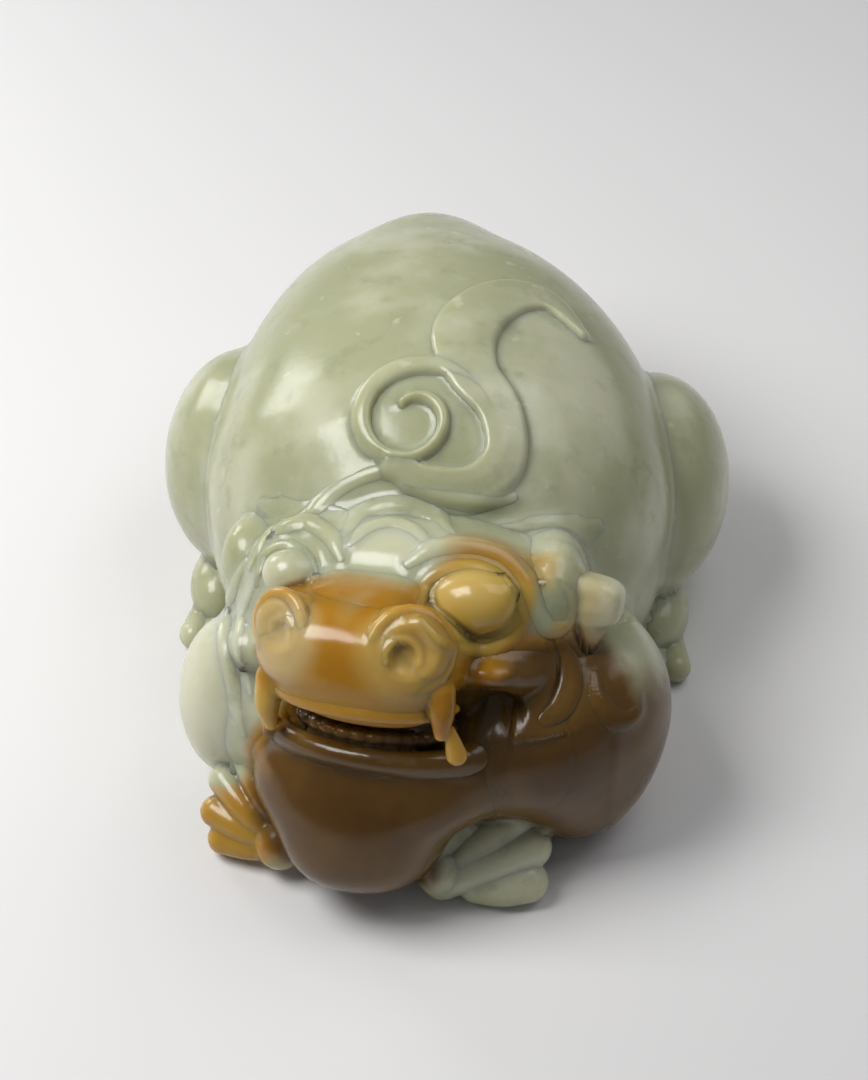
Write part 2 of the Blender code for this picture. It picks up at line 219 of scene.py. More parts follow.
@dataclass(frozen=True)
class Ball:
    """A rounded lump: the surface where a power norm of the scaled place is one."""

    centre: Point
    half: Point
    power: float = 2.0
    tilt: float = 0.0

    def on(self, side: Side) -> "Ball":
        """Return the ball itself on the left, or its mirror image on the right."""
        across, along, up = self.centre
        return Ball((across * side.value, along, up), self.half, self.power, self.tilt * side.value)

    def box(self) -> tuple[Array, Array]:
        """Return the corners of the ball, or of a cube round it when it tilts."""
        half = np.full(3, max(self.half)) if self.tilt else np.asarray(self.half)
        return np.asarray(self.centre) - half, np.asarray(self.centre) + half

    def distance(self, places: Array) -> Array:
        """Return (norm - 1) over the norm's slope, which is the distance near the surface.

        Args:
            places: places in the form's frame.

        Returns:
            One distance for each place, negative inside.
        """
        offset = places - np.asarray(self.centre)
        if self.tilt:
            cos, sin = math.cos(math.radians(self.tilt)), math.sin(math.radians(self.tilt))
            offset = np.stack([
                offset[:, 0] * cos + offset[:, 2] * sin, offset[:, 1],
                offset[:, 2] * cos - offset[:, 0] * sin,
            ], axis=1)
        scaled = np.abs(offset) / np.asarray(self.half) + TINY
        norm = (scaled ** self.power).sum(axis=1) ** (1.0 / self.power)
        slope = (scaled / norm[:, None]) ** (self.power - 1.0) / np.asarray(self.half)
        return (norm - 1.0) / np.sqrt((slope ** 2).sum(axis=1))


@dataclass(frozen=True)
class Egg:
    """The torso: an ellipsoid with a long rear, a swaying rump and a full flat belly."""

    half_width: float = 19.0
    half_height: float = 16.0
    centre_height: float = 15.0
    rear: float = 28.0
    front: float = 16.0
    sway: float = -3.2
    fullness: float = 3.5
    bound: float = 60.0

    def box(self) -> tuple[Array, Array]:
        """Return corners well outside the torso."""
        return np.full(3, -self.bound), np.full(3, self.bound)

    def distance(self, places: Array) -> Array:
        """Return (norm - 1) over its slope, with a fuller norm under the middle.

        Args:
            places: world points.

        Returns:
            One distance for each point, negative inside.
        """
        reach = np.where(places[:, 1] > 0, self.rear, self.front)
        along = places[:, 1] / reach
        across = (places[:, 0] - self.sway * np.maximum(along, 0.0) ** 2) / self.half_width
        height = (places[:, 2] - self.centre_height) / self.half_height
        around = np.sqrt(across ** 2 + along ** 2) + TINY
        power = np.where(height < 0, self.fullness, 2.0)
        norm = (around ** power + np.abs(height) ** power) ** (1.0 / power) + TINY
        plan_slope = np.sqrt((across / self.half_width) ** 2 + (along / reach) ** 2) / around
        slope = np.sqrt(
            ((around / norm) ** (power - 1) * plan_slope) ** 2
            + ((np.abs(height) / norm) ** (power - 1) / self.half_height) ** 2
        )
        return (norm - 1.0) / slope


TORSO = Egg()


@dataclass(frozen=True)
class Rope:
    """A round band along a flowing path, with a radius at each of its knots."""

    knots: tuple[Point, ...]
    radii: tuple[float, ...]
    samples: int = 24

    def box(self) -> tuple[Array, Array]:
        """Return corners that hold the path and its greatest radius."""
        path = flowing_path(self.knots, self.samples)
        return path.min(axis=0) - max(self.radii), path.max(axis=0) + max(self.radii)

    def distance(self, places: Array) -> Array:
        """Return the distance to the path less the radius there.

        Args:
            places: places in the form's frame.

        Returns:
            One distance for each place, negative inside.
        """
        path = flowing_path(self.knots, self.samples)
        radii = flowing_path(self.radii, self.samples)[:, 0]
        return path_distance(places, path, np.maximum(radii, THINNEST))


@dataclass(frozen=True)
class Relief:
    """A low ribbon on the back: within a half width of a plan path, up to a height off the torso.

    Attributes:
        knots: the path's plan places.
        widths: the half width at each knot.
        height: how far the ribbon's edges stand off the torso.
        edge: how far the edges are rounded.
        crown: how much higher the middle stands.
        depth: how far the ribbon goes into the torso.
        samples: points along the path.
        crown_width: how far in from the edge the crown is whole.
        top: a height over all ribbons.
    """

    knots: tuple[Plan, ...]
    widths: tuple[float, ...]
    height: float
    edge: float = 0.5
    crown: float = 0.0
    depth: float = 2.0
    samples: int = 48
    crown_width: float = 2.0
    top: float = 34.0

    def box(self) -> tuple[Array, Array]:
        """Return where the ribbon may lie.

        Returns:
            The lowest and highest corners that hold the ribbon, over the torso's middle.
        """
        path = flowing_path(self.knots, self.samples)
        low, high = path.min(axis=0) - max(self.widths), path.max(axis=0) + max(self.widths)
        return np.array([*low, TORSO.centre_height]), np.array([*high, self.top])

    def distance(self, places: Array) -> Array:
        """Return the rounded greater of the plan distance and the height over the torso.

        Args:
            places: world points.

        Returns:
            One distance for each point, negative inside.
        """
        path = flowing_path(self.knots, self.samples)
        widths = flowing_path(self.widths, self.samples)[:, 0]
        beside = path_distance(places[:, :2], path, np.maximum(widths, THINNEST))
        over = TORSO.distance(places)
        rise = self.height + self.crown * smooth_step(0.0, self.crown_width, -beside)
        body = smooth_max(beside, over - rise, self.edge)
        return np.maximum(body, -over - self.depth)


@dataclass(frozen=True)
class Form:
    """One carved form, or a hollow cut into the forms before it.

    Attributes:
        node: the CAD node that the piece stands for.
        slot: the record's material slot; not used.
        shapes: the solids that make it up, in the form's frame.
        spine: the path that its surface is wrapped round, inside the form.
        part: what the piece is called within its node.
        frame: the frame of its shapes and spine.
        blend: how softly it flows into the forms before it.
        inner: how softly its own shapes flow together.
        reach: how far past its own solid its surface follows the carving.
        rings: rows along the spine.
        sides: points round the spine.
        far: how far from the spine its rays start.
        hollow: whether it is cut away instead of added, and so has no piece.
    """

    node: str
    slot: str
    shapes: tuple[Shape, ...]
    spine: tuple[Point, ...] = ()
    part: str = "stone"
    frame: Frame = Frame.BODY
    blend: float = 1.0
    inner: float = 0.5
    reach: float = 0.9
    rings: int = 72
    sides: int = 64
    far: float = 14.0
    hollow: bool = False

    def distance(self, points: Array) -> Array:
        """Return the distance to the form's own solid at world points, or to its box when far.

        Args:
            points: world points.

        Returns:
            One distance for each point, negative inside.
        """
        places = in_frame(points, self.frame)
        boxes = [shape.box() for shape in self.shapes]
        low = np.min([box[0] for box in boxes], axis=0)
        high = np.max([box[1] for box in boxes], axis=0)
        gap = np.maximum(np.maximum(low - places, places - high), 0.0)
        total = np.sqrt((gap ** 2).sum(axis=1))
        close = total < max(CLOSE, self.blend)
        if close.any():
            near = places[close]
            inside = self.shapes[0].distance(near)
            for shape in self.shapes[1:]:
                inside = smooth_min(inside, shape.distance(near), self.inner)
            total[close] = inside
        return total


@dataclass
class Carving:
    """All the forms, and the common field that their surfaces follow.

    Attributes:
        forms: the forms in the order that they are joined.
        dive: how steeply a piece goes under where another form is nearer.
        steps: the most steps that a ray takes.
        pace: the share of the field's value in each step.
        settled: the value at which a ray stops.
        least: the shortest ray.
        probes: how many points stand for a form when its neighbours are found.
        margin: how far past its rays' starts a form may have neighbours.
        sight: the way to the camera, in head places.
        laid_start: how far out a drawn path starts.
        laid_steps: the steps by which it comes in.
        laid_pace: the share of the field's value in each of them.
    """

    forms: list[Form] = field(default_factory=list)
    dive: float = 0.3
    steps: int = 26
    pace: float = 0.85
    settled: float = 0.003
    least: float = 0.02
    probes: int = 12
    margin: float = 3.0
    sight: Point = (0.29, 1.0, 0.28)
    laid_start: float = 14.0
    laid_steps: int = 60
    laid_pace: float = 0.7

    @staticmethod
    def joined(near: Sequence[Form], own: Form | None, points: Array) -> tuple[Array, Array, Array]:
        """Return the carving's distance, one form's own distance and the nearest form's at world points.

        The carving is the rounded union of the forms in order, less each hollow, over the floor.

        Args:
            near: the forms to join, in order.
            own: the form whose own distance is asked, if any.
            points: world points.

        Returns:
            Three distances for each point.
        """
        total = np.full(len(points), NOWHERE)
        mine = nearest = total
        for form in near:
            distance = form.distance(points)
            mine = distance if form is own else mine
            if form.hollow:
                total = smooth_max(total, -distance, form.blend)
            else:
                total = smooth_min(total, distance, form.blend)
                nearest = np.minimum(nearest, distance)
        return np.maximum(total, -points[:, 2]), mine, nearest

    def common(self, near: Sequence[Form], own: Form, points: Array) -> Array:
        """Return the field of one form's piece at world points.

        The piece is what of the carving lies within reach of its own form, and it dives under the
        surface where another form is nearer.

        Args:
            near: the forms that come close.
            own: the piece's form.
            points: world points.

        Returns:
            About the distance to the piece's surface.
        """
        total, mine, nearest = self.joined(near, own, points)
        return np.maximum(total + self.dive * (mine - nearest), mine - own.reach)

    def laid(self, seen: Sequence[Plan], depth: float, lift: float, count: int = 24) -> tuple[Point, ...]:
        """Return head places of a path drawn as the camera sees it and laid on the carving.

        Each sight line goes through (left, up) at the depth ahead, and is followed inward until it
        is the lift away from the surface.

        Args:
            seen: the path's knots as (left, up).
            depth: how far ahead of the head's middle they are measured.
            lift: the height of the path over the surface.
            count: how many places to return.

        Returns:
            Head places.
        """
        plan = flowing_path(tuple(seen), count)
        start = np.column_stack([plan[:, 0], np.full(count, depth), plan[:, 1]])
        sight = np.asarray(self.sight) / np.linalg.norm(self.sight)
        out = np.full(count, self.laid_start)
        for _ in range(self.laid_steps):
            points = POSE.to_world(start + out[:, None] * sight)
            out -= self.laid_pace * (self.joined(self.forms, None, points)[0] - lift)
            out = np.maximum(out, -self.laid_start)
        return rows(start + out[:, None] * sight)

    def neighbours(self, own: Form, origins: Array) -> list[Form]:
        """Return the forms that come close to the points a form can reach.

        Args:
            own: the form.
            origins: the starts of its rays, or its surface.

        Returns:
            The form and its neighbours, in order.
        """
        probe = origins[:: max(len(origins) // self.probes, 1)]
        limit = own.far + self.margin
        return [form for form in self.forms if form is own or form.distance(probe).min() < limit]

    def wrap(self, own: Form) -> tuple[Array, Array]:
        """Return the vertices and faces of one form's piece.

        Rays leave the spine at right angles to it, and fan over its two ends. Each ray starts far
        out and steps back by the field's value until the field is zero.

        Args:
            own: the form.

        Returns:
            World points in millimetres, and rows of four vertex numbers (a repeat makes a triangle).
        """
        origins, rays = spine_rays(own)
        near = self.neighbours(own, origins)
        radius = np.full(len(origins), own.far)
        moving = np.arange(len(origins))
        for _ in range(self.steps):
            value = self.common(near, own, origins[moving] + radius[moving, None] * rays[moving])
            radius[moving] = np.clip(radius[moving] - self.pace * value, self.least, own.far)
            moving = moving[np.abs(value) > self.settled]
            if not len(moving):
                break
        points = origins + radius[:, None] * rays
        points[:, 2] = np.maximum(points[:, 2], 0.0)
        return points, grid_faces(own.rings, own.sides)


def spine_rays(form: Form) -> tuple[Array, Array]:
    """Return the starts and directions of a form's rays, ring by ring between two poles.

    Args:
        form: the form, with its spine and its counts of rings and sides.

    Returns:
        Starts and unit directions, one row each: a pole, the rings, the other pole.
    """
    cap = max(form.sides // 5, 4)
    body = form.rings - 2 * cap
    path = to_world(flowing_path(form.spine, body), form.frame)
    ahead = np.gradient(path, axis=0)
    ahead /= np.linalg.norm(ahead, axis=1, keepdims=True)
    guide = np.array([0.0, 0.0, 1.0]) if abs(ahead[:, 2]).max() < STEEP else np.array([1.0, 0.0, 0.0])
    across = np.cross(ahead, guide)
    across /= np.linalg.norm(across, axis=1, keepdims=True)
    above = np.cross(across, ahead)
    lean = np.radians(90.0) * (1.0 - np.arange(1, cap + 1) / (cap + 1.0))
    tilt = np.concatenate([-lean, np.zeros(body), lean[::-1]])
    row = np.concatenate([np.zeros(cap, int), np.arange(body), np.full(cap, body - 1)])
    angle = np.linspace(0.0, 2 * math.pi, form.sides, endpoint=False)
    cos, sin = np.cos(angle)[None, :, None], np.sin(angle)[None, :, None]
    circle = cos * across[row][:, None] + sin * above[row][:, None]
    rays = np.cos(tilt)[:, None, None] * circle + np.sin(tilt)[:, None, None] * ahead[row][:, None]
    starts = np.repeat(path[row], form.sides, axis=0)
    starts = np.vstack([path[:1], starts, path[-1:]])
    rays = np.vstack([-ahead[:1], rays.reshape(-1, 3), ahead[-1:]])
    return starts, rays


def grid_faces(rings: int, sides: int) -> Array:
    """Return the faces of a pole, a grid of rings and another pole.

    Args:
        rings: rows of points between the poles.
        sides: points in a row.

    Returns:
        Rows of four vertex numbers, with the last repeated where the face is a triangle.
    """
    row = np.arange(rings - 1)[:, None] * sides + 1
    here = np.arange(sides)[None, :]
    after = (here + 1) % sides
    quads = np.stack([row + here, row + after, row + sides + after, row + sides + here], axis=2)
    last = 1 + (rings - 1) * sides
    pole = last + sides
    around, turned = np.arange(sides), (np.arange(sides) + 1) % sides
    start = np.stack([np.zeros(sides, int), 1 + turned, 1 + around, 1 + around], axis=1)
    end = np.stack([np.full(sides, pole), last + around, last + turned, last + turned], axis=1)
    return np.vstack([start, quads.reshape(-1, 4), end])


def mesh_piece(name: str, points: Array, faces: Array) -> bpy.types.Object:
    """Return a smooth object from points in millimetres and faces of four numbers.

    Args:
        name: the piece's name.
        points: world points in millimetres.
        faces: rows of four vertex numbers, the last repeated in a triangle.

    Returns:
        The object, linked to the scene and sitting at the origin.
    """
    loops = [face[:3] if face[2] == face[3] else face for face in faces.tolist()]
    corners = points[faces[:, :3]] - points.mean(axis=0)
    if np.einsum("ij,ij->", corners[:, 0], np.cross(corners[:, 1], corners[:, 2])) < 0:
        loops = [loop[::-1] for loop in loops]
    mesh = bpy.data.meshes.new(name)
    mesh.from_pydata((points * MM).tolist(), [], loops)
    mesh.polygons.foreach_set("use_smooth", np.ones(len(loops), bool))
    mesh.update()
    piece = bpy.data.objects.new(name, mesh)
    bpy.context.scene.collection.objects.link(piece)
    return piece


@dataclass(frozen=True)
class Stain:
    """A soft-edged patch of warm skin: 1 inside a ball of stone, falling to 0 over its fade."""

    ball: Ball
    frame: Frame
    fade: float
    strength: float = 1.0

    def amount(self, points: Array) -> Array:
        """Return the patch's share at world points."""
        inside = self.ball.distance(in_frame(points, self.frame))
        return self.strength * (1.0 - smooth_step(-self.fade / 2, self.fade / 2, inside))


@dataclass(frozen=True)
class Skin:
    """Where the stone's green gives way to honey, gold, russet and pale skin.

    Attributes:
        honey: where the stone is warm.
        green: where it stays green within the honey.
        russet: where the warm skin is dark, and inside the mouth also painted shade.
        pale: where the stone is nearly white, and on the forehead and the far nostril also painted highlight.
        gold: where the warm skin is bright.
        feel: how far out along the normal a groove is felt for.
    """

    honey: tuple[Stain, ...]
    green: tuple[Stain, ...]
    russet: tuple[Stain, ...]
    pale: tuple[Stain, ...]
    gold: tuple[Stain, ...]
    feel: float = 0.7

    @staticmethod
    def gather(stains: Sequence[Stain], points: Array) -> Array:
        """Return 1 less the product of what each patch leaves.

        Args:
            stains: the patches.
            points: world points.

        Returns:
            One share for each point.
        """
        left = np.ones(len(points))
        for stain in stains:
            left = left * (1.0 - stain.amount(points))
        return 1.0 - left

    def cavity(self, piece: bpy.types.Object, points: Array, near: Sequence[Form]) -> Array:
        """Return how deep each point lies in a groove.

        A step out along the normal brings a point on open stone that far from the carving, and
        one in a groove less far, so the share that is missing is the depth.

        Args:
            piece: the piece, for its normals.
            points: its points in millimetres.
            near: the forms that come close to it.

        Returns:
            One share for each point, 0 on open stone.
        """
        normals = np.empty(len(points) * 3)
        piece.data.vertices.foreach_get("normal", normals)
        away = Carving.joined(near, None, points + self.feel * normals.reshape(-1, 3))[0]
        return np.clip(1.0 - away / self.feel, 0.0, 1.0)

    def paint(self, piece: bpy.types.Object, near: Sequence[Form]) -> None:
        """Store the skin's shares, and the depth in grooves that the material paints shade into, on the
        piece's points.

        Args:
            piece: the piece to paint.
            near: the forms that come close to it.
        """
        points = np.empty(len(piece.data.vertices) * 3)
        piece.data.vertices.foreach_get("co", points)
        points = points.reshape(-1, 3) / MM
        honey = self.gather(self.honey, points) * (1.0 - self.gather(self.green, points))
        others = [self.gather(stains, points) for stains in (self.russet, self.pale, self.gold)]
        shares = np.stack([honey, *others], axis=1)
        layer = piece.data.attributes.new("skin", "FLOAT_COLOR", "POINT")
        layer.data.foreach_set("color", shares.astype(np.float32).ravel())
        # The groove depth, by which the material darkens grooves as painted shade
        layer = piece.data.attributes.new("groove", "FLOAT", "POINT")
        layer.data.foreach_set("value", self.cavity(piece, points, near).astype(np.float32))


class Socket:
    """A shader value: Python arithmetic on it adds Math nodes."""

    def __init__(self, nodes: "Nodes", link: bpy.types.NodeSocket) -> None:
        """Keep the node builder and the output socket."""
        self.nodes = nodes
        self.link = link

    def math(self, operation: str, first: Any, second: Any) -> "Socket":
        """Return the result of one Math node."""
        return self.nodes.add("ShaderNodeMath", {"operation": operation}, {0: first, 1: second})

    def __add__(self, other: Any) -> "Socket":
        """Add."""
        return self.math("ADD", self, other)

    def __sub__(self, other: Any) -> "Socket":
        """Subtract."""
        return self.math("SUBTRACT", self, other)

    def __rsub__(self, other: Any) -> "Socket":
        """Subtract this from a number."""
        return self.math("SUBTRACT", other, self)

    def __mul__(self, other: Any) -> "Socket":
        """Multiply."""
        return self.math("MULTIPLY", self, other)

    __radd__ = __add__
    __rmul__ = __mul__

    def step(self, low: float, high: float) -> "Socket":
        """Return 0 below low, 1 above high and a smooth rise between."""
        ends = {0: self, 1: low, 2: high, 3: 0.0, 4: 1.0}
        return self.nodes.add("ShaderNodeMapRange", {"interpolation_type": "SMOOTHSTEP"}, ends)


class Nodes:
    """Adds nodes to a material's tree."""

    def __init__(self, material: bpy.types.Material) -> None:
        """Start from the material's empty tree.

        Args:
            material: the material to fill.
        """
        material.use_nodes = True
        self.tree = material.node_tree
        self.tree.nodes.clear()

    def add(self, kind: str, settings: dict[str, Any], inputs: dict[Any, Any],
            output: Any = 0) -> Socket | None:
        """Add one node.

        Args:
            kind: the node's type.
            settings: attributes that are set first.
            inputs: values or sockets by input name or number.
            output: the output to return, by name or number, or None at the end of the tree.

        Returns:
            The chosen output, if any.
        """
        node = self.tree.nodes.new(kind)
        for key, value in settings.items():
            setattr(node, key, value)
        for key, value in inputs.items():
            if isinstance(value, Socket):
                self.tree.links.new(value.link, node.inputs[key])
            else:
                node.inputs[key].default_value = value
        return None if output is None else Socket(self, node.outputs[output])

    def mix(self, share: Any, first: Any, second: Any) -> Socket:
        """Return a colour between two by share."""
        ends = {0: share, 6: colour(first), 7: colour(second)}
        return self.add("ShaderNodeMix", {"data_type": "RGBA"}, ends, 2)

    def noise(self, place: Socket, scale: float, detail: float, roughness: float = 0.5) -> Socket:
        """Return noise with features of about one over the scale in metres."""
        values = {"Vector": place, "Scale": scale, "Detail": detail, "Roughness": roughness}
        return self.add("ShaderNodeTexNoise", {}, values)


def colour(value: Any) -> Any:
    """Return a socket as it is, or a linear colour with alpha 1."""
    return value if isinstance(value, Socket) else (*value, 1.0)


@dataclass(frozen=True)
class Jade:
    """The polished stone's finish: its greens, its warm skin, its gloss and how deep light goes.

    A noise is its scale, detail and roughness. A step is the pair of values between which one
    colour gives way to the next, and a share is how far it does. Deep grooves are darkened as painted shade.
    """

    green: Point = (0.36, 0.37, 0.225)
    cloud: Point = (0.50, 0.50, 0.36)
    shade: Point = (0.25, 0.265, 0.155)
    honey: Point = (0.36, 0.165, 0.008)
    amber: Point = (0.42, 0.225, 0.030)
    gold: Point = (0.48, 0.33, 0.070)
    russet: Point = (0.072, 0.031, 0.004)
    umber: Point = (0.19, 0.105, 0.020)
    pale: Point = (0.64, 0.63, 0.47)
    # Painted shade colours: cut is the dark brown and the next one the dark green that deep grooves are
    # darkened towards
    cut: Point = (0.050, 0.028, 0.009)
    green_groove_shade: Point = (0.16, 0.175, 0.095)
    cloud_noise: tuple[float, ...] = (95.0, 4.0)
    wisp_noise: tuple[float, ...] = (330.0, 5.0, 0.6)
    fleck_noise: tuple[float, ...] = (620.0, 2.0)
    grain_noise: tuple[float, ...] = (1500.0, 3.0)
    cloud_step: Plan = (0.42, 0.66)
    shade_step: Plan = (0.52, 0.72)
    fleck_step: Plan = (0.68, 0.76)
    amber_step: Plan = (0.42, 0.72)
    umber_step: Plan = (0.30, 0.72)
    russet_step: Plan = (0.28, 0.78)
    honey_step: Plan = (0.22, 0.72)
    groove_step: Plan = (0.12, 0.85)
    shade_share: float = 0.45
    fleck_share: float = 0.35
    amber_share: float = 0.6
    umber_share: float = 0.55
    pale_share: float = 0.85
    edge_clouds: float = 0.5
    edge_wisps: float = 0.35
    edge_middle: float = 0.42
    russet_edge: float = 0.9
    # How far painted groove shade darkens deep grooves, and how much more on honey skin
    groove_shade_share: float = 0.25
    groove_shade_honey: float = 0.4
    gloss: float = 0.20
    gloss_wisps: float = 0.10
    gloss_middle: float = 0.05
    groove_rough: float = 0.2
    bump: float = 0.2
    bump_height: float = 0.00008
    bending: float = 1.58
    shine: float = 0.32
    inside: float = 0.65
    glow: Point = (1.0, 0.78, 0.42)
    depth: float = 0.0026

    def material(self) -> bpy.types.Material:
        """Return the shared material, read from Object coordinates and the skin attribute.

        Returns:
            The material.
        """
        stone = bpy.data.materials.new("polished_jade")
        nodes = Nodes(stone)
        place = nodes.add("ShaderNodeTexCoord", {}, {}, "Object")
        skin = nodes.add("ShaderNodeAttribute", {"attribute_name": "skin"}, {}, "Color")
        gold = nodes.add("ShaderNodeAttribute", {"attribute_name": "skin"}, {}, "Alpha")
        groove = nodes.add("ShaderNodeAttribute", {"attribute_name": "groove"}, {}, "Fac")
        groove = groove.step(*self.groove_step)
        parts = {name: nodes.add("ShaderNodeSeparateColor", {}, {0: skin}, index)
                 for index, name in enumerate(("honey", "russet", "pale"))}
        clouds = nodes.noise(place, *self.cloud_noise)
        wisps = nodes.noise(place, *self.wisp_noise)
        flecks = nodes.noise(place, *self.fleck_noise)
        grain = nodes.noise(place, *self.grain_noise)
        green = nodes.mix(clouds.step(*self.cloud_step), self.green, self.cloud)
        green = nodes.mix(wisps.step(*self.shade_step) * self.shade_share, green, self.shade)
        green = nodes.mix(flecks.step(*self.fleck_step) * self.fleck_share, green, self.pale)
        warm = nodes.mix(wisps.step(*self.amber_step) * self.amber_share, self.honey, self.amber)
        warm = nodes.mix(gold, warm, self.gold)
        edge = clouds * self.edge_clouds + wisps * self.edge_wisps - self.edge_middle
        russet = (parts["russet"] + edge * self.russet_edge).step(*self.russet_step)
        brown = nodes.mix(clouds.step(*self.umber_step) * self.umber_share, self.russet, self.umber)
        warm = nodes.mix(russet, warm, brown)
        honey = (parts["honey"] + edge).step(*self.honey_step)
        base = nodes.mix(honey, green, warm)
        base = nodes.mix(parts["pale"] * self.pale_share, base, self.pale)
        # Painted shade: the deeper a groove, the more the colour goes to a dark brown on honey skin and a
        # dark green elsewhere
        deep = groove * (honey * self.groove_shade_honey + self.groove_shade_share)
        base = nodes.mix(deep, base, nodes.mix(honey, self.green_groove_shade, self.cut))
        rough = wisps * self.gloss_wisps + self.gloss - self.gloss_middle + groove * self.groove_rough
        bump = nodes.add("ShaderNodeBump", {}, {
            "Strength": self.bump, "Distance": self.bump_height, "Height": grain,
        }, "Normal")
        shader = nodes.add("ShaderNodeBsdfPrincipled", {}, {
            "Base Color": base, "Roughness": rough, "Normal": bump, "IOR": self.bending,
            "Specular IOR Level": self.shine, "Subsurface Weight": self.inside,
            "Subsurface Radius": self.glow, "Subsurface Scale": self.depth,
        })
        nodes.add("ShaderNodeOutputMaterial", {}, {"Surface": shader}, None)
        return stone


@dataclass
class Body:
    """Torso, chest, hind legs, tail and mane strands."""

    chest: Ball = Ball((-1.0, -16.0, 7.0), (13.5, 9.5, 6.6))
    rump: Ball = Ball((-2.6, 21.0, 21.2), (4.6, 5.0, 3.0))
    haunch_half: Point = (6.7, 9.5, 9.3)
    haunch_place: Point = (17.2, 7.0, 10.5)
    hind_palm_half: Point = (2.6, 4.0, 2.6)
    hind_palm_place: Point = (18.7, -0.2, 2.5)
    hind_toe_length: float = 5.0
    hind_toe_spread: float = 1.7
    hind_toe_radius: float = 1.25
    tail_plan: tuple[Plan, ...] = (
        (10.9, 6.7), (7.7, 9.4), (4.2, 7.7), (1.8, 3.1), (2.5, -1.3), (5.0, -4.5), (5.7, -7.9), (3.6, -10.2),
        (0.2, -10.4), (-3.0, -9.4),
    )
    tail_widths: tuple[float, ...] = (0.6, 1.5, 2.2, 2.6, 2.2, 1.8, 1.6, 1.3, 1.0, 0.7)
    tail_height: float = 0.6
    curl_centre: Plan = (-1.6, -6.0)
    curl_radii: Plan = (6.2, 1.5)
    curl_flat: float = 0.93
    curl_start: float = 14.0
    curl_turn: float = 470.0
    curl_height: float = 0.7
    neck_ridges: dict[Side, tuple[Point, ...]] = field(default_factory=lambda: {
        Side.RIGHT: ((-10.2, -12.8, 23.3), (-7.8, -10.5, 24.9), (-4.9, -9.5, 26.6), (-2.4, -9.5, 27.9)),
        Side.LEFT: ((-1.7, -10.5, 27.1), (1.0, -11.0, 26.8), (3.8, -11.0, 26.4), (6.4, -10.0, 26.0)),
    })
    ridge_radii: tuple[float, ...] = (0.35, 0.6, 0.65, 0.35)
    lock_shares: tuple[Plan, ...] = ((0.34, -0.76), (0.55, -0.68), (0.70, -0.56))
    lock_widths: tuple[float, ...] = (0.5, 1.0, 0.4)

    def forms(self) -> list[Form]:
        """Return the body's forms.

        Returns:
            The forms from the torso outward.
        """
        torso_spine = ((0.0, -7.0, 15.0), (-0.6, 6.0, 15.0), (-2.0, 16.0, 15.0))
        chest_spine = ((-6.0, -16.0, 6.5), (4.0, -16.0, 6.5))
        rump_spine = ((-3.9, 20.8, 21.0), (-1.3, 20.8, 21.0))
        forms = [
            Form("torso", "jade_celadon", (TORSO,), torso_spine, reach=2.6, rings=240, sides=220, far=30.0),
            Form("chest", "jade_celadon", (self.chest,), chest_spine, blend=3.0, far=16.0),
            Form("rump_knob", "jade_celadon", (self.rump,), rump_spine, blend=2.4, reach=1.2),
        ]
        for side in Side:
            forms += [self.haunch(side), *self.hind_paw(side)]
        for side in Side:
            forms += [self.neck_ridge(side), self.lock(side)]
        return forms + [self.tail(), self.curl()]

    def neck_ridge(self, side: Side) -> Form:
        """Return one side's ridge where the neck begins."""
        knots = self.neck_ridges[side]
        return Form(f"strand_{side.word}_1", "jade_celadon", (Rope(knots, self.ridge_radii),), knots,
                    blend=0.8, reach=0.5, rings=110, sides=44, far=1.8)

    def lock(self, side: Side) -> Form:
        """Return one side's faint lock of hair on the torso behind the neck.

        Args:
            side: the lock's side.

        Returns:
            The lock's form.
        """
        plan = tuple((across * side.value * TORSO.half_width, along * TORSO.front)
                     for across, along in self.lock_shares)
        relief = Relief(plan, self.lock_widths, height=0.16, edge=0.8, crown=0.15, samples=16)
        return Form(f"strand_{side.word}_2", "jade_celadon", (relief,), back_spine(plan, 0.6),
                    blend=0.6, reach=0.5, rings=90, sides=36, far=3.0)

    def haunch(self, side: Side) -> Form:
        """Return one thigh.

        Args:
            side: the thigh's side.

        Returns:
            The thigh's form.
        """
        across, along, up = self.haunch_place
        across *= side.value
        ball = Ball((across, along, up), self.haunch_half)
        spine = ((across, along - 3.0, up), (across, along + 3.0, up))
        return Form(f"haunch_{side.word}", "jade_celadon", (ball,), spine,
                    blend=1.2, reach=1.6, rings=110, sides=110)

    def hind_paw(self, side: Side) -> list[Form]:
        """Return one hind paw.

        Args:
            side: the paw's side.

        Returns:
            The forms of a palm and three toes.
        """
        across, along, up = self.hind_palm_place
        across *= side.value
        node = f"hind_paw_{side.word}"
        palm = Ball((across, along, up), self.hind_palm_half)
        spine = ((across, along + 1.2, up - 0.4), (across, along - 1.2, up - 0.4))
        forms = [Form(node, "jade_celadon", (palm,), spine, "palm", blend=0.7, far=7.0)]
        for number in (-1, 0, 1):
            start = (across + number * self.hind_toe_spread / 2, along - 0.5, 1.2)
            end = (across + number * self.hind_toe_spread, along - self.hind_toe_length, 1.25)
            forms.append(toe(node, "jade_celadon", number + 2, (start, end), (1.0, self.hind_toe_radius)))
        return forms

    def tail(self) -> Form:
        """Return the ribbon of the tail."""
        relief = Relief(self.tail_plan, self.tail_widths, self.tail_height, crown=0.12)
        return Form("tail", "jade_pale", (relief,), back_spine(self.tail_plan, 0.8),
                    blend=0.3, reach=0.5, rings=220, sides=60, far=4.2)

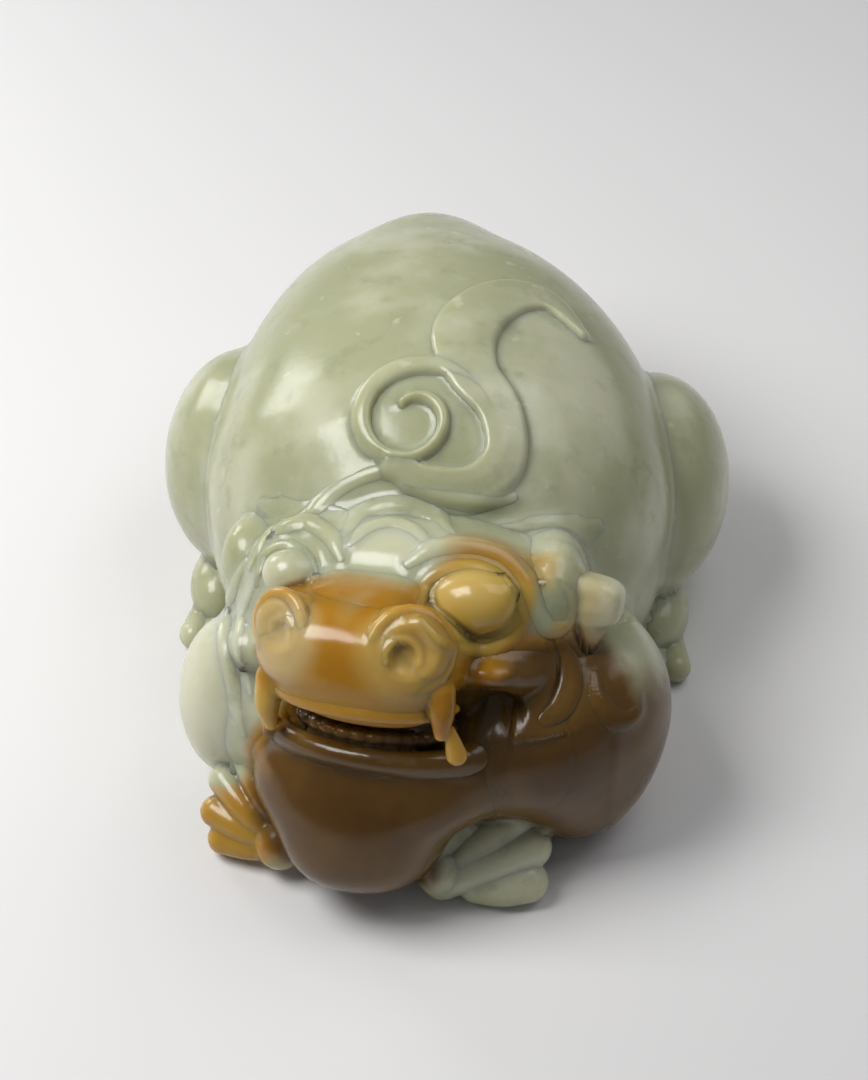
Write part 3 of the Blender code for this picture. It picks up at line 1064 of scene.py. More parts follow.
    def curl(self) -> Form:
        """Return the curl at the tail's end: a flattened spiral from a tip on the ribbon to its middle.

        The half width swells and falls over the first turn, and is a little over its least after it.

        Returns:
            The curl's form.
        """
        share = np.linspace(0.0, 1.0, 28)
        angle = np.radians(self.curl_start + self.curl_turn * share)
        radius = self.curl_radii[0] + (self.curl_radii[1] - self.curl_radii[0]) * share ** 0.7
        knots = rows(np.stack([self.curl_centre[0] + radius * np.cos(angle),
                               self.curl_centre[1] + radius * np.sin(angle) * self.curl_flat], axis=1))
        swell = 0.6 * np.sin(math.pi * np.minimum(share * 1.8, 1.0) ** 0.8)
        widths = 0.3 + swell + 0.25 * smooth_step(0.45, 0.75, share) - 0.2 * smooth_step(0.8, 1.0, share)
        relief = Relief(knots, tuple(widths.tolist()), self.curl_height, edge=0.7, crown=0.1, samples=80)
        return Form("tail_curl", "jade_pale", (relief,), back_spine(knots, 0.3),
                    blend=0.3, reach=0.3, rings=300, sides=44, far=1.6)


def toe(node: str, slot: str, number: int, knots: tuple[Point, ...], radii: tuple[float, ...]) -> Form:
    """Return one toe of a paw, wrapped round its own path.

    Args:
        node: the paw's node.
        slot: the material slot.
        number: which toe.
        knots: its path.
        radii: its radius at each knot.

    Returns:
        The toe's form.
    """
    return Form(node, slot, (Rope(knots, radii, 10),), knots, f"toe_{number}", blend=0.35, reach=0.5,
                rings=80, sides=48, far=max(radii) + 1.2)


def back_spine(knots: Sequence[Plan], sink: float) -> tuple[Point, ...]:
    """Return points under plan places on the back, sunk into the torso.

    Args:
        knots: plan places.
        sink: how far under the surface.

    Returns:
        World points.
    """
    plan = np.asarray(knots, float)
    along = plan[:, 1] / np.where(plan[:, 1] > 0, TORSO.rear, TORSO.front)
    across = (plan[:, 0] - TORSO.sway * np.maximum(along, 0.0) ** 2) / TORSO.half_width
    height = np.sqrt(np.maximum(1.0 - across ** 2 - along ** 2, 0.0))
    return rows(np.column_stack([plan, TORSO.centre_height + TORSO.half_height * height - sink]))


@dataclass
class Forelegs:
    """Shoulders and fore paws, which differ from side to side."""

    shoulders: dict[Side, tuple[Ball, ...]] = field(default_factory=lambda: {
        Side.LEFT: (
            Ball((14.8, -16.8, 9.8), (5.0, 6.6, 7.8)), Ball((11.4, -19.6, 10.2), (5.4, 6.4, 7.8)),
            Ball((11.9, -20.0, 5.2), (5.0, 4.8, 5.6)),
        ),
        Side.RIGHT: (Ball((-15.0, -17.0, 8.4), (4.3, 5.6, 7.6)),),
    })
    blends: dict[Side, float] = field(default_factory=lambda: {Side.LEFT: 4.5, Side.RIGHT: 1.2})
    wrists: dict[Side, Point] = field(default_factory=lambda: {
        Side.LEFT: (2.6, -28.4, 2.4), Side.RIGHT: (-10.2, -27.2, 2.8),
    })
    toes: dict[Side, tuple] = field(default_factory=lambda: {
        Side.LEFT: (
            ((2.6, -28.8, 2.0), (6.2, -26.4, 4.4), (8.9, -24.0, 5.8)),
            ((2.8, -29.0, 1.8), (6.0, -27.9, 3.0), (9.4, -26.4, 3.7)),
            ((5.4, -28.9, 1.5), (7.4, -28.8, 1.6), (9.3, -28.3, 1.7)),
        ),
        Side.RIGHT: (
            ((-10.2, -27.2, 2.0), (-12.6, -26.9, 1.8), (-14.9, -26.2, 1.6)),
            ((-10.2, -27.2, 2.8), (-13.2, -26.2, 3.1), (-15.6, -24.8, 3.2)),
            ((-10.2, -27.0, 3.4), (-12.9, -25.4, 4.4), (-15.1, -23.0, 5.0)),
            ((-10.0, -26.6, 4.0), (-11.8, -24.6, 5.6), (-13.4, -21.8, 6.8)),
        ),
    })
    toe_radii: dict[Side, tuple] = field(default_factory=lambda: {
        Side.LEFT: (1.4, 1.7, 1.75), Side.RIGHT: (0.8, 1.15, 1.3),
    })
    wrist_half: Point = (2.0, 2.0, 2.2)

    def shoulder_forms(self) -> list[Form]:
        """Return both shoulders.

        Returns:
            One form for each side.
        """
        forms = []
        for side in Side:
            balls = self.shoulders[side]
            x, y, z = balls[0].centre
            slot = "jade_russet" if side is Side.LEFT else "jade_pale"
            forms.append(Form(f"shoulder_{side.word}", slot, balls, ((x, y, z - 2.0), (x, y, z + 2.0)),
                              blend=self.blends[side], inner=3.5, reach=2.0, rings=120, sides=110))
        return forms

    def paw_forms(self) -> list[Form]:
        """Return both paws: a wrist, and fat-ended toes that fan out from it.

        Returns:
            The forms of both wrists and all the toes.
        """
        forms = []
        for side in Side:
            node = f"fore_paw_{side.word}"
            slot = "jade_pale" if side is Side.LEFT else "jade_honey"
            x, y, z = self.wrists[side]
            wrist = Ball((x, y, z), self.wrist_half)
            spine = ((x - 0.3, y, z), (x + 0.3, y, z))
            forms.append(Form(node, slot, (wrist,), spine, "wrist", blend=0.8, far=5.0))
            forms += [toe(node, slot, number, knots, self.toe_radii[side])
                      for number, knots in enumerate(self.toes[side], 1)]
        return forms


@dataclass(frozen=True)
class Arch:
    """A band bent round the front of the mouth: part of an ellipse seen from above.

    Attributes:
        node: the CAD node.
        slot: the record's material slot.
        half: the ellipse's half width and half length.
        ahead: how far ahead of the head's middle the ellipse's middle is.
        height: the band's height at its middle.
        radius: its radius there.
        sweep: how many degrees of the ellipse it takes.
        blend: how softly it flows into the forms before it.
        beads: how many teeth it swells into, if any.
    """

    node: str
    slot: str
    half: Plan
    ahead: float
    height: float
    radius: float
    sweep: float
    blend: float
    beads: int = 0


@dataclass
class Head:
    """Skull, jaws, face, mouth and hair, in head places (left, ahead, up).

    The masses come first. The finer bands are drawn as the camera sees them, as (left, up) at a
    depth ahead, and laid on the masses.
    """

    skull: Ball = Ball((0.0, -0.8, 2.4), (12.4, 6.6, 7.6), 2.5)
    muzzle: Ball = Ball((-0.2, 6.8, 1.8), (8.0, 6.0, 4.2), 2.6, -5.0)
    jaw: Ball = Ball((-0.8, 1.8, -9.8), (9.4, 7.4, 4.6), 2.6)
    chin: Ball = Ball((-1.4, 2.9, -13.8), (6.4, 6.4, 5.4), 2.3)
    bridge: Ball = Ball((-0.1, 6.2, 5.0), (4.3, 3.4, 1.9), 2.8)
    eyes: dict[Side, Ball] = field(default_factory=lambda: {
        Side.LEFT: Ball((7.4, 4.3, 5.1), (3.4, 2.2, 2.45), 2.0, 8.0),
        Side.RIGHT: Ball((-6.7, 4.7, 6.1), (2.2, 1.8, 1.9), 2.0, -8.0),
    })
    ears: dict[Side, tuple[Shape, ...]] = field(default_factory=lambda: {
        Side.LEFT: (
            Ball((14.9, -2.0, 4.3), (2.7, 1.7, 1.9), 3.4, -10.0),
            Rope(((15.1, -2.0, 3.6), (15.1, -1.7, 1.0)), (1.9, 0.6), 8),
        ),
        Side.RIGHT: (
            Ball((-13.4, -3.0, 3.6), (1.5, 1.4, 1.8), 2.6, 10.0),
            Rope(((-13.6, -2.9, 3.2), (-13.8, -2.4, 0.8)), (1.1, 0.2), 8),
        ),
    })
    nostrils: dict[Side, Point] = field(default_factory=lambda: {
        Side.LEFT: (4.3, 9.8, 3.0), Side.RIGHT: (-4.9, 9.8, 4.0),
    })
    cheek: tuple[Ball, ...] = (
        Ball((9.8, -1.2, -6.6), (5.4, 5.8, 5.8)), Ball((9.6, 2.4, -0.4), (2.8, 2.9, 1.9)),
    )
    near_cheek: Ball = Ball((8.9, 5.2, 0.1), (2.1, 1.4, 0.9))
    mane: tuple[Ball, ...] = (
        Ball((11.4, -3.4, 0.6), (3.0, 4.6, 7.2)), Ball((12.4, -2.0, 5.0), (2.2, 3.2, 3.4)),
    )
    cheek_blends: dict[Side, float] = field(default_factory=lambda: {Side.LEFT: 4.0, Side.RIGHT: 1.2})
    mane_blends: dict[Side, float] = field(default_factory=lambda: {Side.LEFT: 3.0, Side.RIGHT: 1.0})
    lips: tuple[Arch, ...] = (
        Arch("upper_lip", "jade_honey", (7.3, 5.1), 6.7, -1.7, 0.5, 165.0, 1.2),
        Arch("lower_lip", "jade_russet", (8.4, 6.0), 3.1, -6.2, 0.9, 170.0, 1.4),
    )
    teeth: tuple[Arch, ...] = (
        Arch("upper_teeth", "jade_honey", (6.0, 4.2), 5.2, -2.8, 0.65, 110.0, 0.3),
        Arch("lower_teeth", "jade_honey", (6.6, 5.4), 2.9, -4.8, 0.7, 120.0, 0.25, 11),
    )
    mouth_lean: float = -0.07
    nostril_half: Point = (3.3, 2.2, 3.2)
    nostril_turn: float = 25.0
    nostril_lift: float = 12.0
    ring_radius: float = 2.9
    ring_rise: float = 0.95
    ring_sweep: Plan = (205.0, -140.0)
    far_nostril: float = 0.78
    bowl_half: Point = (2.3, 1.5, 2.2)
    bowl_out: float = 3.0
    swirl_radius: float = 1.3
    swirl_middle: Plan = (-0.6, -0.4)
    swirl_rise: float = 1.62
    swirl_sweep: Plan = (195.0, -25.0)
    arc_count: int = 22
    slot_knots: tuple[Point, ...] = (
        (-8.4, 4.8, -3.2), (-5.2, 8.4, -3.5), (0.0, 9.6, -3.7), (5.2, 8.6, -3.5), (9.4, 4.6, -3.0),
    )
    slot_radii: tuple[float, ...] = (0.8, 1.2, 1.3, 1.3, 1.4)
    mouth_corner: Ball = Ball((9.4, 4.9, -3.2), (2.1, 2.8, 1.5))
    tongue: Ball = Ball((-0.4, 3.0, -4.4), (6.0, 5.0, 1.6))
    upper_fangs: dict[Side, tuple[Point, ...]] = field(default_factory=lambda: {
        Side.LEFT: ((6.6, 9.6, -0.2), (6.9, 9.9, -1.8), (6.8, 9.8, -3.4)),
        Side.RIGHT: ((-6.6, 9.2, -0.6), (-6.9, 9.4, -2.6), (-6.8, 9.0, -4.4)),
    })
    lower_fangs: dict[Side, tuple[Point, ...]] = field(default_factory=lambda: {
        Side.LEFT: ((7.4, 9.5, -3.2), (7.8, 9.0, -5.2)),
        Side.RIGHT: ((-7.7, 7.4, -3.8), (-7.5, 6.8, -5.6)),
    })
    upper_fang_radii: tuple[float, ...] = (1.25, 0.95, 0.5)
    lower_fang_radii: tuple[float, ...] = (0.45, 0.8)
    stroke_count: int = 26
    stroke_blend: float = 0.7
    band_reach: float = 0.4
    band_room: float = 0.3
    row_count: int = 49

    def masses(self) -> list[Form]:
        """Return the head's large forms and the hollows of the mouth.

        Returns:
            The forms in the order that they are joined.
        """
        forms = [self.lump("lower_jaw", "jade_russet", (self.jaw, self.chin), 4.0, inner=3.0, blend=2.2,
                           reach=1.8, rings=150, sides=130, far=18.0)]
        for side in Side:
            forms += self.side_masses(side)
        slot = Rope(self.slot_knots, self.slot_radii)
        forms += [
            self.lump("skull", "jade_honey", (self.skull,), 5.0, blend=1.6, reach=1.4, rings=150, sides=120),
            self.lump("muzzle", "jade_honey", (self.muzzle,), 4.0, blend=1.2, reach=1.2, rings=150,
                      sides=130),
            self.lump("nose_bridge", "jade_russet", (self.bridge,), 1.8, blend=0.9, reach=0.8, rings=80,
                      sides=80, far=7.0),
            self.hollow("muzzle", slot, 0.6),
            self.hollow("cheek_left", self.mouth_corner, 0.8),
        ]
        for side in Side:
            forms += self.feature_masses(side)
        return forms

    @staticmethod
    def hollow(node: str, shape: Shape, blend: float) -> Form:
        """Return a hollow cut into the forms before it."""
        return Form(node, "", (shape,), frame=Frame.HEAD, blend=blend, hollow=True)

    @staticmethod
    def lump(node: str, slot: str, shapes: tuple[Shape, ...], half_spine: float, inner: float = 0.3,
             **sizes: Any) -> Form:
        """Return a form wrapped round a spine across the head, through the middle of its balls.

        Args:
            node: the CAD node.
            slot: the material slot.
            shapes: its solids, with at least one ball.
            half_spine: half the spine's length.
            inner: how softly its solids flow together.
            sizes: the form's other sizes, by name.

        Returns:
            The form.
        """
        balls = [shape for shape in shapes if isinstance(shape, Ball)]
        left, ahead, up = np.mean([ball.centre for ball in balls], axis=0).tolist()
        spine = ((left - half_spine, ahead, up), (left + half_spine, ahead, up))
        return Form(node, slot, shapes, spine, frame=Frame.HEAD, inner=inner, **sizes)

    def band(self, node: str, slot: str, part: str, knots: Sequence[Point], radii: Sequence[float],
             blend: float = 0.3, rings: int = 120) -> Form:
        """Return a rope's form, wrapped round its own path.

        Args:
            node: the CAD node.
            slot: the material slot.
            part: what the piece is called within its node.
            knots: the rope's path, in head places.
            radii: its radius at each knot.
            blend: how softly it flows into the forms before it.
            rings: rows along it.

        Returns:
            The form.
        """
        rope = Rope(tuple(knots), tuple(radii), max(len(knots), 12))
        return Form(node, slot, (rope,), tuple(knots), part, Frame.HEAD, blend, inner=0.2,
                    reach=self.band_reach, rings=rings, sides=36,
                    far=max(radii) + self.band_reach + self.band_room)

    def side_masses(self, side: Side) -> list[Form]:
        """Return one side's cheek and mane.

        Args:
            side: their side.

        Returns:
            Two forms.
        """
        cheek = tuple(ball.on(side) for ball in self.cheek)
        if side is Side.LEFT:
            cheek += (self.near_cheek,)
        mane = tuple(ball.on(side) for ball in self.mane)
        return [
            self.lump(f"cheek_{side.word}", "jade_russet", cheek, 1.0, inner=1.2,
                      blend=self.cheek_blends[side], reach=1.8, rings=110, sides=100),
            self.lump(f"mane_{side.word}", "jade_celadon", mane, 0.6, inner=1.4,
                      blend=self.mane_blends[side], reach=1.2, rings=100, sides=100),
        ]

    def feature_masses(self, side: Side) -> list[Form]:
        """Return one side's ear, eye and nostril wing.

        Args:
            side: their side.

        Returns:
            Three forms and the hollow in the wing.
        """
        shrink = 1.0 if side is Side.LEFT else self.far_nostril
        wing = Ball(self.nostrils[side], tuple(value * shrink for value in self.nostril_half))
        out = self.nostril_axes(side)[2]
        bowl = Ball(tuple((np.array(self.nostrils[side]) + self.bowl_out * out).tolist()), self.bowl_half)
        fine = {"rings": 90, "sides": 90, "far": 6.0}
        return [
            self.lump(f"ear_{side.word}", "jade_pale", self.ears[side], 0.4, blend=0.3, reach=0.6, far=5.0),
            self.lump(f"eye_{side.word}", "jade_gold", (self.eyes[side],), 0.6, blend=0.3, reach=0.5, **fine),
            self.lump(f"nostril_{side.word}", "jade_honey", (wing,), 0.5, blend=0.8, reach=0.7, **fine),
            self.hollow(f"nostril_{side.word}", bowl, 0.5),
        ]

    def nostril_axes(self, side: Side) -> Array:
        """Return the axes of a nostril's face.

        Args:
            side: the nostril's side.

        Returns:
            The across, up and outward unit vectors as rows.
        """
        turn, lift = math.radians(self.nostril_turn), math.radians(self.nostril_lift)
        flip = side.value
        across = np.array([math.cos(turn) * flip, -math.sin(turn), 0.0])
        ahead = np.array([math.sin(turn) * flip, math.cos(turn), 0.0])
        up = np.array([0.0, 0.0, 1.0])
        face_up = up * math.cos(lift) - ahead * math.sin(lift)
        return np.array([across, face_up, ahead * math.cos(lift) + up * math.sin(lift)])

    def nostril_arc(self, side: Side, sweep: Plan, radius: float, middle: Plan,
                    rise: float) -> tuple[Point, ...]:
        """Return part of a circle in a nostril's face.

        Args:
            side: the nostril's side.
            sweep: the first and last angle in degrees.
            radius: the circle's radius.
            middle: its middle, across and up in the face.
            rise: how far outward of the nostril's middle it lies.

        Returns:
            Head places.
        """
        angle = np.radians(np.linspace(*sweep, self.arc_count))
        flat = np.stack([middle[0] + radius * np.cos(angle), middle[1] + radius * np.sin(angle),
                         np.full(self.arc_count, rise)], axis=1)
        return rows(np.array(self.nostrils[side]) + flat @ self.nostril_axes(side))

    def nostril_bands(self, side: Side) -> list[Form]:
        """Return the ring round one nostril and the swirl inside it.

        Args:
            side: the nostril's side.

        Returns:
            Two forms.
        """
        node = f"nostril_{side.word}"
        shrink = 1.0 if side is Side.LEFT else self.far_nostril
        ring = self.nostril_arc(side, self.ring_sweep, self.ring_radius * shrink, (0.0, 0.0), self.ring_rise)
        swirl = self.nostril_arc(side, self.swirl_sweep, self.swirl_radius * shrink, self.swirl_middle,
                                 self.swirl_rise * shrink)
        ring_radii = np.linspace(0.45, 0.6, self.arc_count).tolist()
        swirl_radii = np.linspace(0.35, 0.3, self.arc_count).tolist()
        return [
            self.band(node, "jade_honey", "ring", ring, ring_radii, 0.35),
            self.band(node, "jade_honey", "swirl", swirl, swirl_radii),
        ]

    def details(self, base: Carving) -> list[Form]:
        """Return the bands laid on the masses: lids, brows, hair, nostrils and mouth.

        Args:
            base: the masses.

        Returns:
            The forms in the order that they are joined.
        """
        forms = []
        for side in Side:
            forms += self.nostril_bands(side)
        for stroke in face_strokes():
            path = base.laid(stroke.seen, stroke.depth, -stroke.bury * max(stroke.radii), self.stroke_count)
            widths = flowing_path(stroke.radii, self.stroke_count)[:, 0].tolist()
            forms.append(self.band(stroke.node, stroke.slot, stroke.part, path, widths, self.stroke_blend))
        return forms + self.mouth()

    def mouth(self) -> list[Form]:
        """Return lips, fangs, teeth and tongue.

        Returns:
            The forms in the order that they are joined.
        """
        forms = [self.row(lip) for lip in self.lips]
        for side in Side:
            forms += [
                self.band(f"upper_fang_{side.word}", "jade_gold", "stone", self.upper_fangs[side],
                          self.upper_fang_radii, rings=70),
                self.band(f"lower_fang_{side.word}", "jade_gold", "stone", self.lower_fangs[side],
                          self.lower_fang_radii, rings=60),
            ]
        forms += [self.row(teeth) for teeth in self.teeth]
        return forms + [self.lump("tongue", "jade_russet", (self.tongue,), 1.5, blend=0.3)]

    def row(self, arch: Arch) -> Form:
        """Return a lip or a row of teeth, its radius falling towards its ends and beaded if asked.

        Args:
            arch: the band's sizes.

        Returns:
            The form.
        """
        share = np.linspace(-1.0, 1.0, self.row_count)
        angle = np.radians(arch.sweep / 2) * share
        across = arch.half[0] * np.sin(angle)
        knots = np.stack([across, arch.ahead + arch.half[1] * np.cos(angle),
                          arch.height + self.mouth_lean * across], axis=1)
        radii = arch.radius * (1.0 - 0.45 * share ** 4)
        samples = 25
        if arch.beads:
            radii = radii * (0.78 + 0.22 * np.abs(np.sin(math.pi * arch.beads * (share + 1.0) / 2.0)))
            samples = self.row_count
        rope = Rope(rows(knots), tuple(radii.tolist()), samples)
        return Form(arch.node, arch.slot, (rope,), rows(knots[::4]), frame=Frame.HEAD, blend=arch.blend,
                    inner=0.2, reach=0.5, rings=190, sides=40, far=arch.radius + 1.0)


@dataclass(frozen=True)
class Stroke:
    """A low band drawn on the face as the camera sees it.

    Attributes:
        node: the CAD node that it belongs to.
        slot: the record's material slot.
        part: what the piece is called within its node.
        depth: how far ahead of the head's middle its places are measured.
        radii: its radius at each knot.
        seen: its knots as (left, up).
        bury: the share of its radius that lies under the surface.
    """

    node: str
    slot: str
    part: str
    depth: float
    radii: tuple[float, ...]
    seen: tuple[Plan, ...]
    bury: float = 0.35


def face_strokes() -> list[Stroke]:
    """Return the lids, brows, forelock, fringes and locks.

    Returns:
        The strokes in the order that they are laid.
    """
    return [
        Stroke("brow_left", "jade_honey", "lid", 6.0, (0.25, 0.45, 0.5, 0.5, 0.45, 0.25),
               ((3.8, 5.2), (4.8, 7.3), (7.4, 8.3), (9.8, 7.8), (11.3, 6.2), (12.1, 4.5))),
        Stroke("brow_left", "jade_honey", "lower_lid", 6.0, (0.2, 0.35, 0.4, 0.35, 0.2),
               ((4.1, 4.2), (5.9, 2.6), (8.5, 2.0), (10.7, 2.8), (11.9, 4.2))),
        Stroke("brow_left", "jade_honey", "stone", 4.5,
               (0.5, 0.8, 0.9, 0.9, 0.8, 0.7, 0.6, 0.55, 0.5, 0.3),
               ((2.7, 7.7), (4.6, 8.9), (7.3, 9.3), (9.9, 8.7), (11.6, 7.0), (12.3, 4.9), (13.5, 3.7),
                (14.9, 4.3), (15.1, 6.1), (14.2, 7.4))),
        Stroke("brow_right", "jade_celadon", "lid", 6.0, (0.2, 0.35, 0.4, 0.35, 0.2),
               ((-9.0, 5.4), (-8.4, 7.7), (-6.6, 8.6), (-4.9, 7.8), (-4.2, 6.0))),
        Stroke("brow_right", "jade_celadon", "stone", 4.0, (0.4, 0.7, 0.8, 0.7, 0.4),
               ((-10.0, 6.0), (-8.6, 8.6), (-6.0, 9.7), (-3.8, 9.0), (-2.8, 7.4))),
        Stroke("crest", "jade_celadon", "stone", 2.0, (0.5, 0.9, 1.0, 0.9, 0.5),
               ((-3.2, 8.4), (-1.7, 10.3), (0.7, 11.2), (3.2, 10.8), (5.2, 9.2)), 0.45),
        Stroke("crest", "jade_celadon", "inner_lock", 3.0, (0.4, 0.6, 0.7, 0.6, 0.4),
               ((-2.3, 8.3), (-1.0, 9.5), (0.8, 10.0), (2.5, 9.7), (3.8, 8.6)), 0.45),
        Stroke("mane_right", "jade_celadon", "fringe", 1.0, (0.3, 0.45, 0.5, 0.5, 0.45, 0.3),
               ((-11.4, 5.4), (-12.6, 3.2), (-13.5, 0.6), (-13.3, -2.4), (-12.4, -5.6), (-11.6, -8.2)), 0.5),
        Stroke("mane_right", "jade_celadon", "inset", 1.0, (0.25, 0.35, 0.4, 0.35, 0.25),
               ((-10.2, 4.8), (-11.2, 2.6), (-11.9, 0.4), (-11.8, -2.4), (-11.1, -5.0)), 0.5),
        Stroke("shoulder_left", "jade_russet", "scroll", -1.5, (0.4, 0.7, 0.8, 0.7, 0.4),
               ((15.4, -1.8), (15.8, -3.6), (17.2, -4.9), (18.6, -4.3), (18.7, -2.9)), 0.58),
        Stroke("cheek_left", "jade_russet", "lock", 0.0, (0.35, 0.6, 0.7, 0.6, 0.35),
               ((12.6, 1.6), (13.6, 0.0), (13.9, -2.0), (13.2, -3.8), (12.0, -4.8)), 0.68),
    ]


def patch(centre: Point, half: Point, fade: float, strength: float = 1.0, frame: Frame = Frame.HEAD) -> Stain:
    """Return a patch of skin, on the head unless another frame is named."""
    return Stain(Ball(centre, half), frame, fade, strength)


def stone_skin() -> Skin:
    """Return where the warm skin lies, with some patches of painted highlight and shade.

    Returns:
        The patches of each kind of skin.
    """
    return Skin(
        honey=(
            patch((-0.2, 8.5, 0.2), (9.8, 8.5, 4.0), 2.4),
            patch((-0.2, 8.5, 1.8), (9.8, 8.5, 5.8), 1.6, 0.66),
            patch((4.6, 10.5, 3.4), (4.4, 4.2, 4.4), 1.6, 0.6),
            patch((-7.2, 8.8, -3.6), (2.4, 3.2, 3.6), 1.2),
            patch((-5.0, 10.5, 3.4), (4.4, 4.2, 4.0), 1.6, 0.5),
            patch((8.0, 5.0, 5.0), (4.6, 4.5, 3.9), 2.0, 0.8),
            patch((9.0, 2.5, 8.0), (5.4, 4.0, 3.2), 3.0, 0.5),
            patch((13.4, 0.0, 5.6), (2.8, 3.4, 3.6), 2.5, 0.2),
            patch((-0.6, 3.0, -11.0), (10.5, 9.5, 9.0), 4.0),
            patch((10.5, 0.5, -4.6), (7.5, 8.0, 7.5), 4.0),
            patch((13.5, -20.5, 7.5), (8.6, 8.6, 9.6), 7.0, frame=Frame.BODY),
            patch((-13.4, -25.8, 2.2), (4.6, 3.8, 4.2), 3.5, frame=Frame.BODY),
            patch((7.2, 9.6, -3.5), (2.8, 3.2, 4.2), 1.2),
            patch((14.9, -2.0, 3.0), (3.2, 3.0, 4.0), 2.5, 0.3),
        ),
        green=(
            patch((6.8, -27.6, 2.8), (5.8, 3.6, 4.2), 3.0, frame=Frame.BODY),
            patch((-9.5, 2.0, 7.0), (4.4, 5.6, 3.6), 2.0, 0.9),
            patch((-13.4, -2.0, 0.0), (3.4, 6.0, 8.0), 2.0),
        ),
        russet=(
            patch((-0.6, 3.0, -12.0), (10.5, 9.6, 8.6), 6.0, 0.92),
            patch((10.8, 0.5, -5.0), (7.4, 8.0, 7.4), 4.0),
            patch((13.5, -20.5, 7.5), (10.5, 10.5, 11.5), 6.0, frame=Frame.BODY),
            patch((0.0, 7.0, 5.6), (6.5, 4.6, 2.6), 3.0, 0.42),
            # Russet inside the mouth: brown skin, darkened further as painted shade in the mouth's recess
            patch((0.0, 4.5, -3.6), (9.0, 4.4, 2.2), 1.6, 0.6),
            patch((-0.4, 8.0, -6.6), (9.8, 4.4, 1.9), 1.6, 0.7),
            patch((6.8, 9.8, -1.4), (1.6, 2.0, 2.2), 1.6, 0.5),
        ),
        pale=(
            patch((-17.0, -18.0, 8.0), (4.5, 6.0, 7.0), 6.0, 0.9, frame=Frame.BODY),
            patch((14.9, -2.6, 3.8), (2.6, 3.0, 3.6), 2.0, 0.12),
            # Pale on the forehead: pale stone, raised further as a painted highlight
            patch((0.8, 2.4, 8.4), (5.0, 3.0, 1.8), 2.5, 0.6),
            patch((7.0, 6.0, 6.8), (2.8, 2.6, 1.4), 1.8, 0.1),
            patch((4.4, 11.5, 3.0), (3.4, 2.6, 3.4), 2.0, 0.07),
            # Pale on the far nostril: pale-gold skin with a painted highlight
            patch((-5.0, 11.5, 3.2), (3.2, 2.6, 3.2), 2.0, 0.3),
        ),
        gold=(
            patch((7.9, 5.0, 5.0), (4.2, 4.5, 3.4), 1.5, 0.9),
            patch((7.6, 9.2, -4.8), (1.8, 2.2, 1.8), 1.0, 0.45),
            patch((4.4, 11.4, 3.0), (3.6, 2.8, 3.6), 2.0, 0.55),
            patch((-5.0, 11.4, 3.6), (3.2, 2.8, 3.2), 2.0, 0.55),
            patch((-1.0, 11.0, -1.6), (8.0, 4.0, 1.7), 2.0, 0.22),
            patch((-7.0, 9.0, -2.8), (1.6, 2.0, 2.6), 1.0, 0.7),
            patch((12.8, 0.0, 5.8), (2.6, 3.4, 3.6), 2.0, 0.6),
            patch((-14.0, -26.0, 2.2), (4.0, 3.4, 3.4), 3.0, 0.4, frame=Frame.BODY),
        ),
    )


@dataclass(frozen=True)
class Lamp:
    """A square lamp that looks at the figure: its place and size in millimetres, its power in watts."""

    name: str
    place: Point
    size: float
    power: float


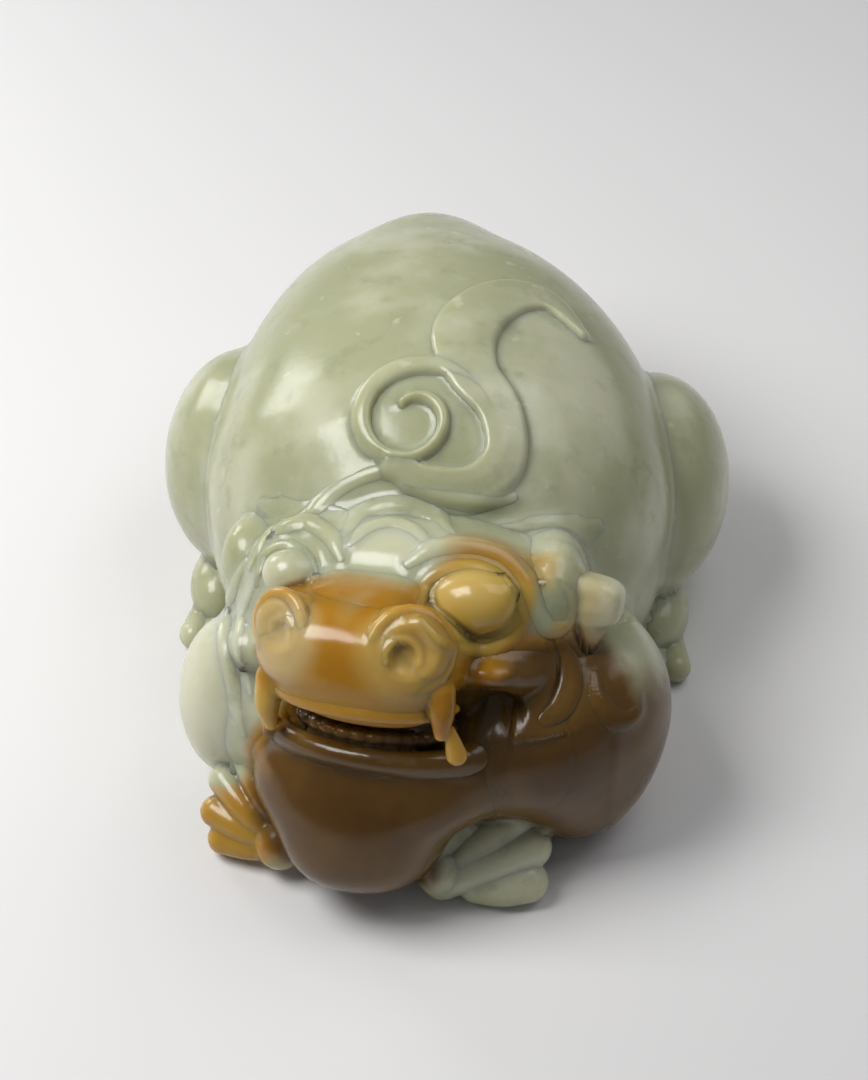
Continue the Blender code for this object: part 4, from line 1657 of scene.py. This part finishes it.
@dataclass(frozen=True)
class Studio:
    """Camera, lamps, sky and floor, with the floor's half size and the camera's nearest sight in metres."""

    target: Point = (0.0, -5.0, 15.0)
    distance: float = 220.0
    azimuth: float = 5.0
    elevation: float = 48.0
    lens: float = 90.9
    nearest: float = 0.01
    lamps: tuple[Lamp, ...] = (
        Lamp("key", (-105.0, -30.0, 180.0), 100.0, 0.35),
        Lamp("back", (-130.0, 90.0, 70.0), 60.0, 0.07),
        Lamp("top", (90.0, 40.0, 190.0), 140.0, 0.12),
    )
    sky: Point = (0.9, 0.93, 1.0)
    sky_strength: float = 0.17
    floor_half: float = 2.0
    floor_colour: Point = (0.74, 0.73, 0.72)
    floor_roughness: float = 0.9

    def build(self) -> None:
        """Set up the picture."""
        self.camera()
        self.floor()
        for lamp in self.lamps:
            self.lamp(lamp)
        world = bpy.data.worlds.new("studio")
        bpy.context.scene.world = world
        world.use_nodes = True
        background = world.node_tree.nodes["Background"]
        background.inputs["Color"].default_value = colour(self.sky)
        background.inputs["Strength"].default_value = self.sky_strength
        bpy.context.scene.view_settings.view_transform = "Standard"

    def camera(self) -> None:
        """Place the camera by its angles round the target."""
        around, up = math.radians(self.azimuth), math.radians(self.elevation)
        away = np.array([math.sin(around) * math.cos(up), -math.cos(around) * math.cos(up), math.sin(up)])
        lens = bpy.data.cameras.new("camera")
        lens.lens = self.lens
        lens.clip_start = self.nearest
        eye = bpy.data.objects.new("camera", lens)
        eye.location = ((np.asarray(self.target) + self.distance * away) * MM).tolist()
        self.aim(eye)
        bpy.context.scene.collection.objects.link(eye)
        bpy.context.scene.camera = eye

    def aim(self, item: bpy.types.Object) -> None:
        """Turn an object to look at the target."""
        away = item.location - Vector(self.target) * MM
        item.rotation_euler = away.to_track_quat("Z", "Y").to_euler()

    def lamp(self, lamp: Lamp) -> None:
        """Add one lamp.

        Args:
            lamp: its name, place, size and power.
        """
        light = bpy.data.lights.new(lamp.name, "AREA")
        light.size = lamp.size * MM
        light.energy = lamp.power
        holder = bpy.data.objects.new(lamp.name, light)
        holder.location = [value * MM for value in lamp.place]
        self.aim(holder)
        bpy.context.scene.collection.objects.link(holder)

    def floor(self) -> None:
        """Add a plain pale floor."""
        half = self.floor_half
        mesh = bpy.data.meshes.new("floor")
        square = [(-half, -half, 0.0), (half, -half, 0.0), (half, half, 0.0), (-half, half, 0.0)]
        mesh.from_pydata(square, [], [(0, 1, 2, 3)])
        plane = bpy.data.objects.new("floor", mesh)
        matt = bpy.data.materials.new("pale_floor")
        matt.use_nodes = True
        shader = matt.node_tree.nodes["Principled BSDF"]
        shader.inputs["Base Color"].default_value = colour(self.floor_colour)
        shader.inputs["Roughness"].default_value = self.floor_roughness
        mesh.materials.append(matt)
        bpy.context.scene.collection.objects.link(plane)


def corners(box: Sequence[Sequence[float]]) -> list[list[float]]:
    """Return a box's corners as plain lists of numbers."""
    return [[float(value) for value in corner] for corner in box]


def main() -> None:
    """Build every piece of the figure and the studio round it."""
    logging.basicConfig(level=logging.INFO, format="%(message)s")
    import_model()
    body, forelegs, head = Body(), Forelegs(), Head()
    masses = body.forms() + forelegs.shoulder_forms() + head.masses()
    carving = Carving(masses + head.details(Carving(masses)) + forelegs.paw_forms())
    skin = stone_skin()
    stone = Jade().material()
    for form in carving.forms:
        if form.hollow:
            continue
        points, faces = carving.wrap(form)
        piece = mesh_piece(f"{form.node}_{form.part}", points, faces)
        skin.paint(piece, carving.neighbours(form, points))
        piece.data.materials.append(stone)
        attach(piece, "root")
        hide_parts(form.node)
        LOG.info("%s: %d points", piece.name, len(points))
    Studio().build()


if __name__ == "__main__":
    main()
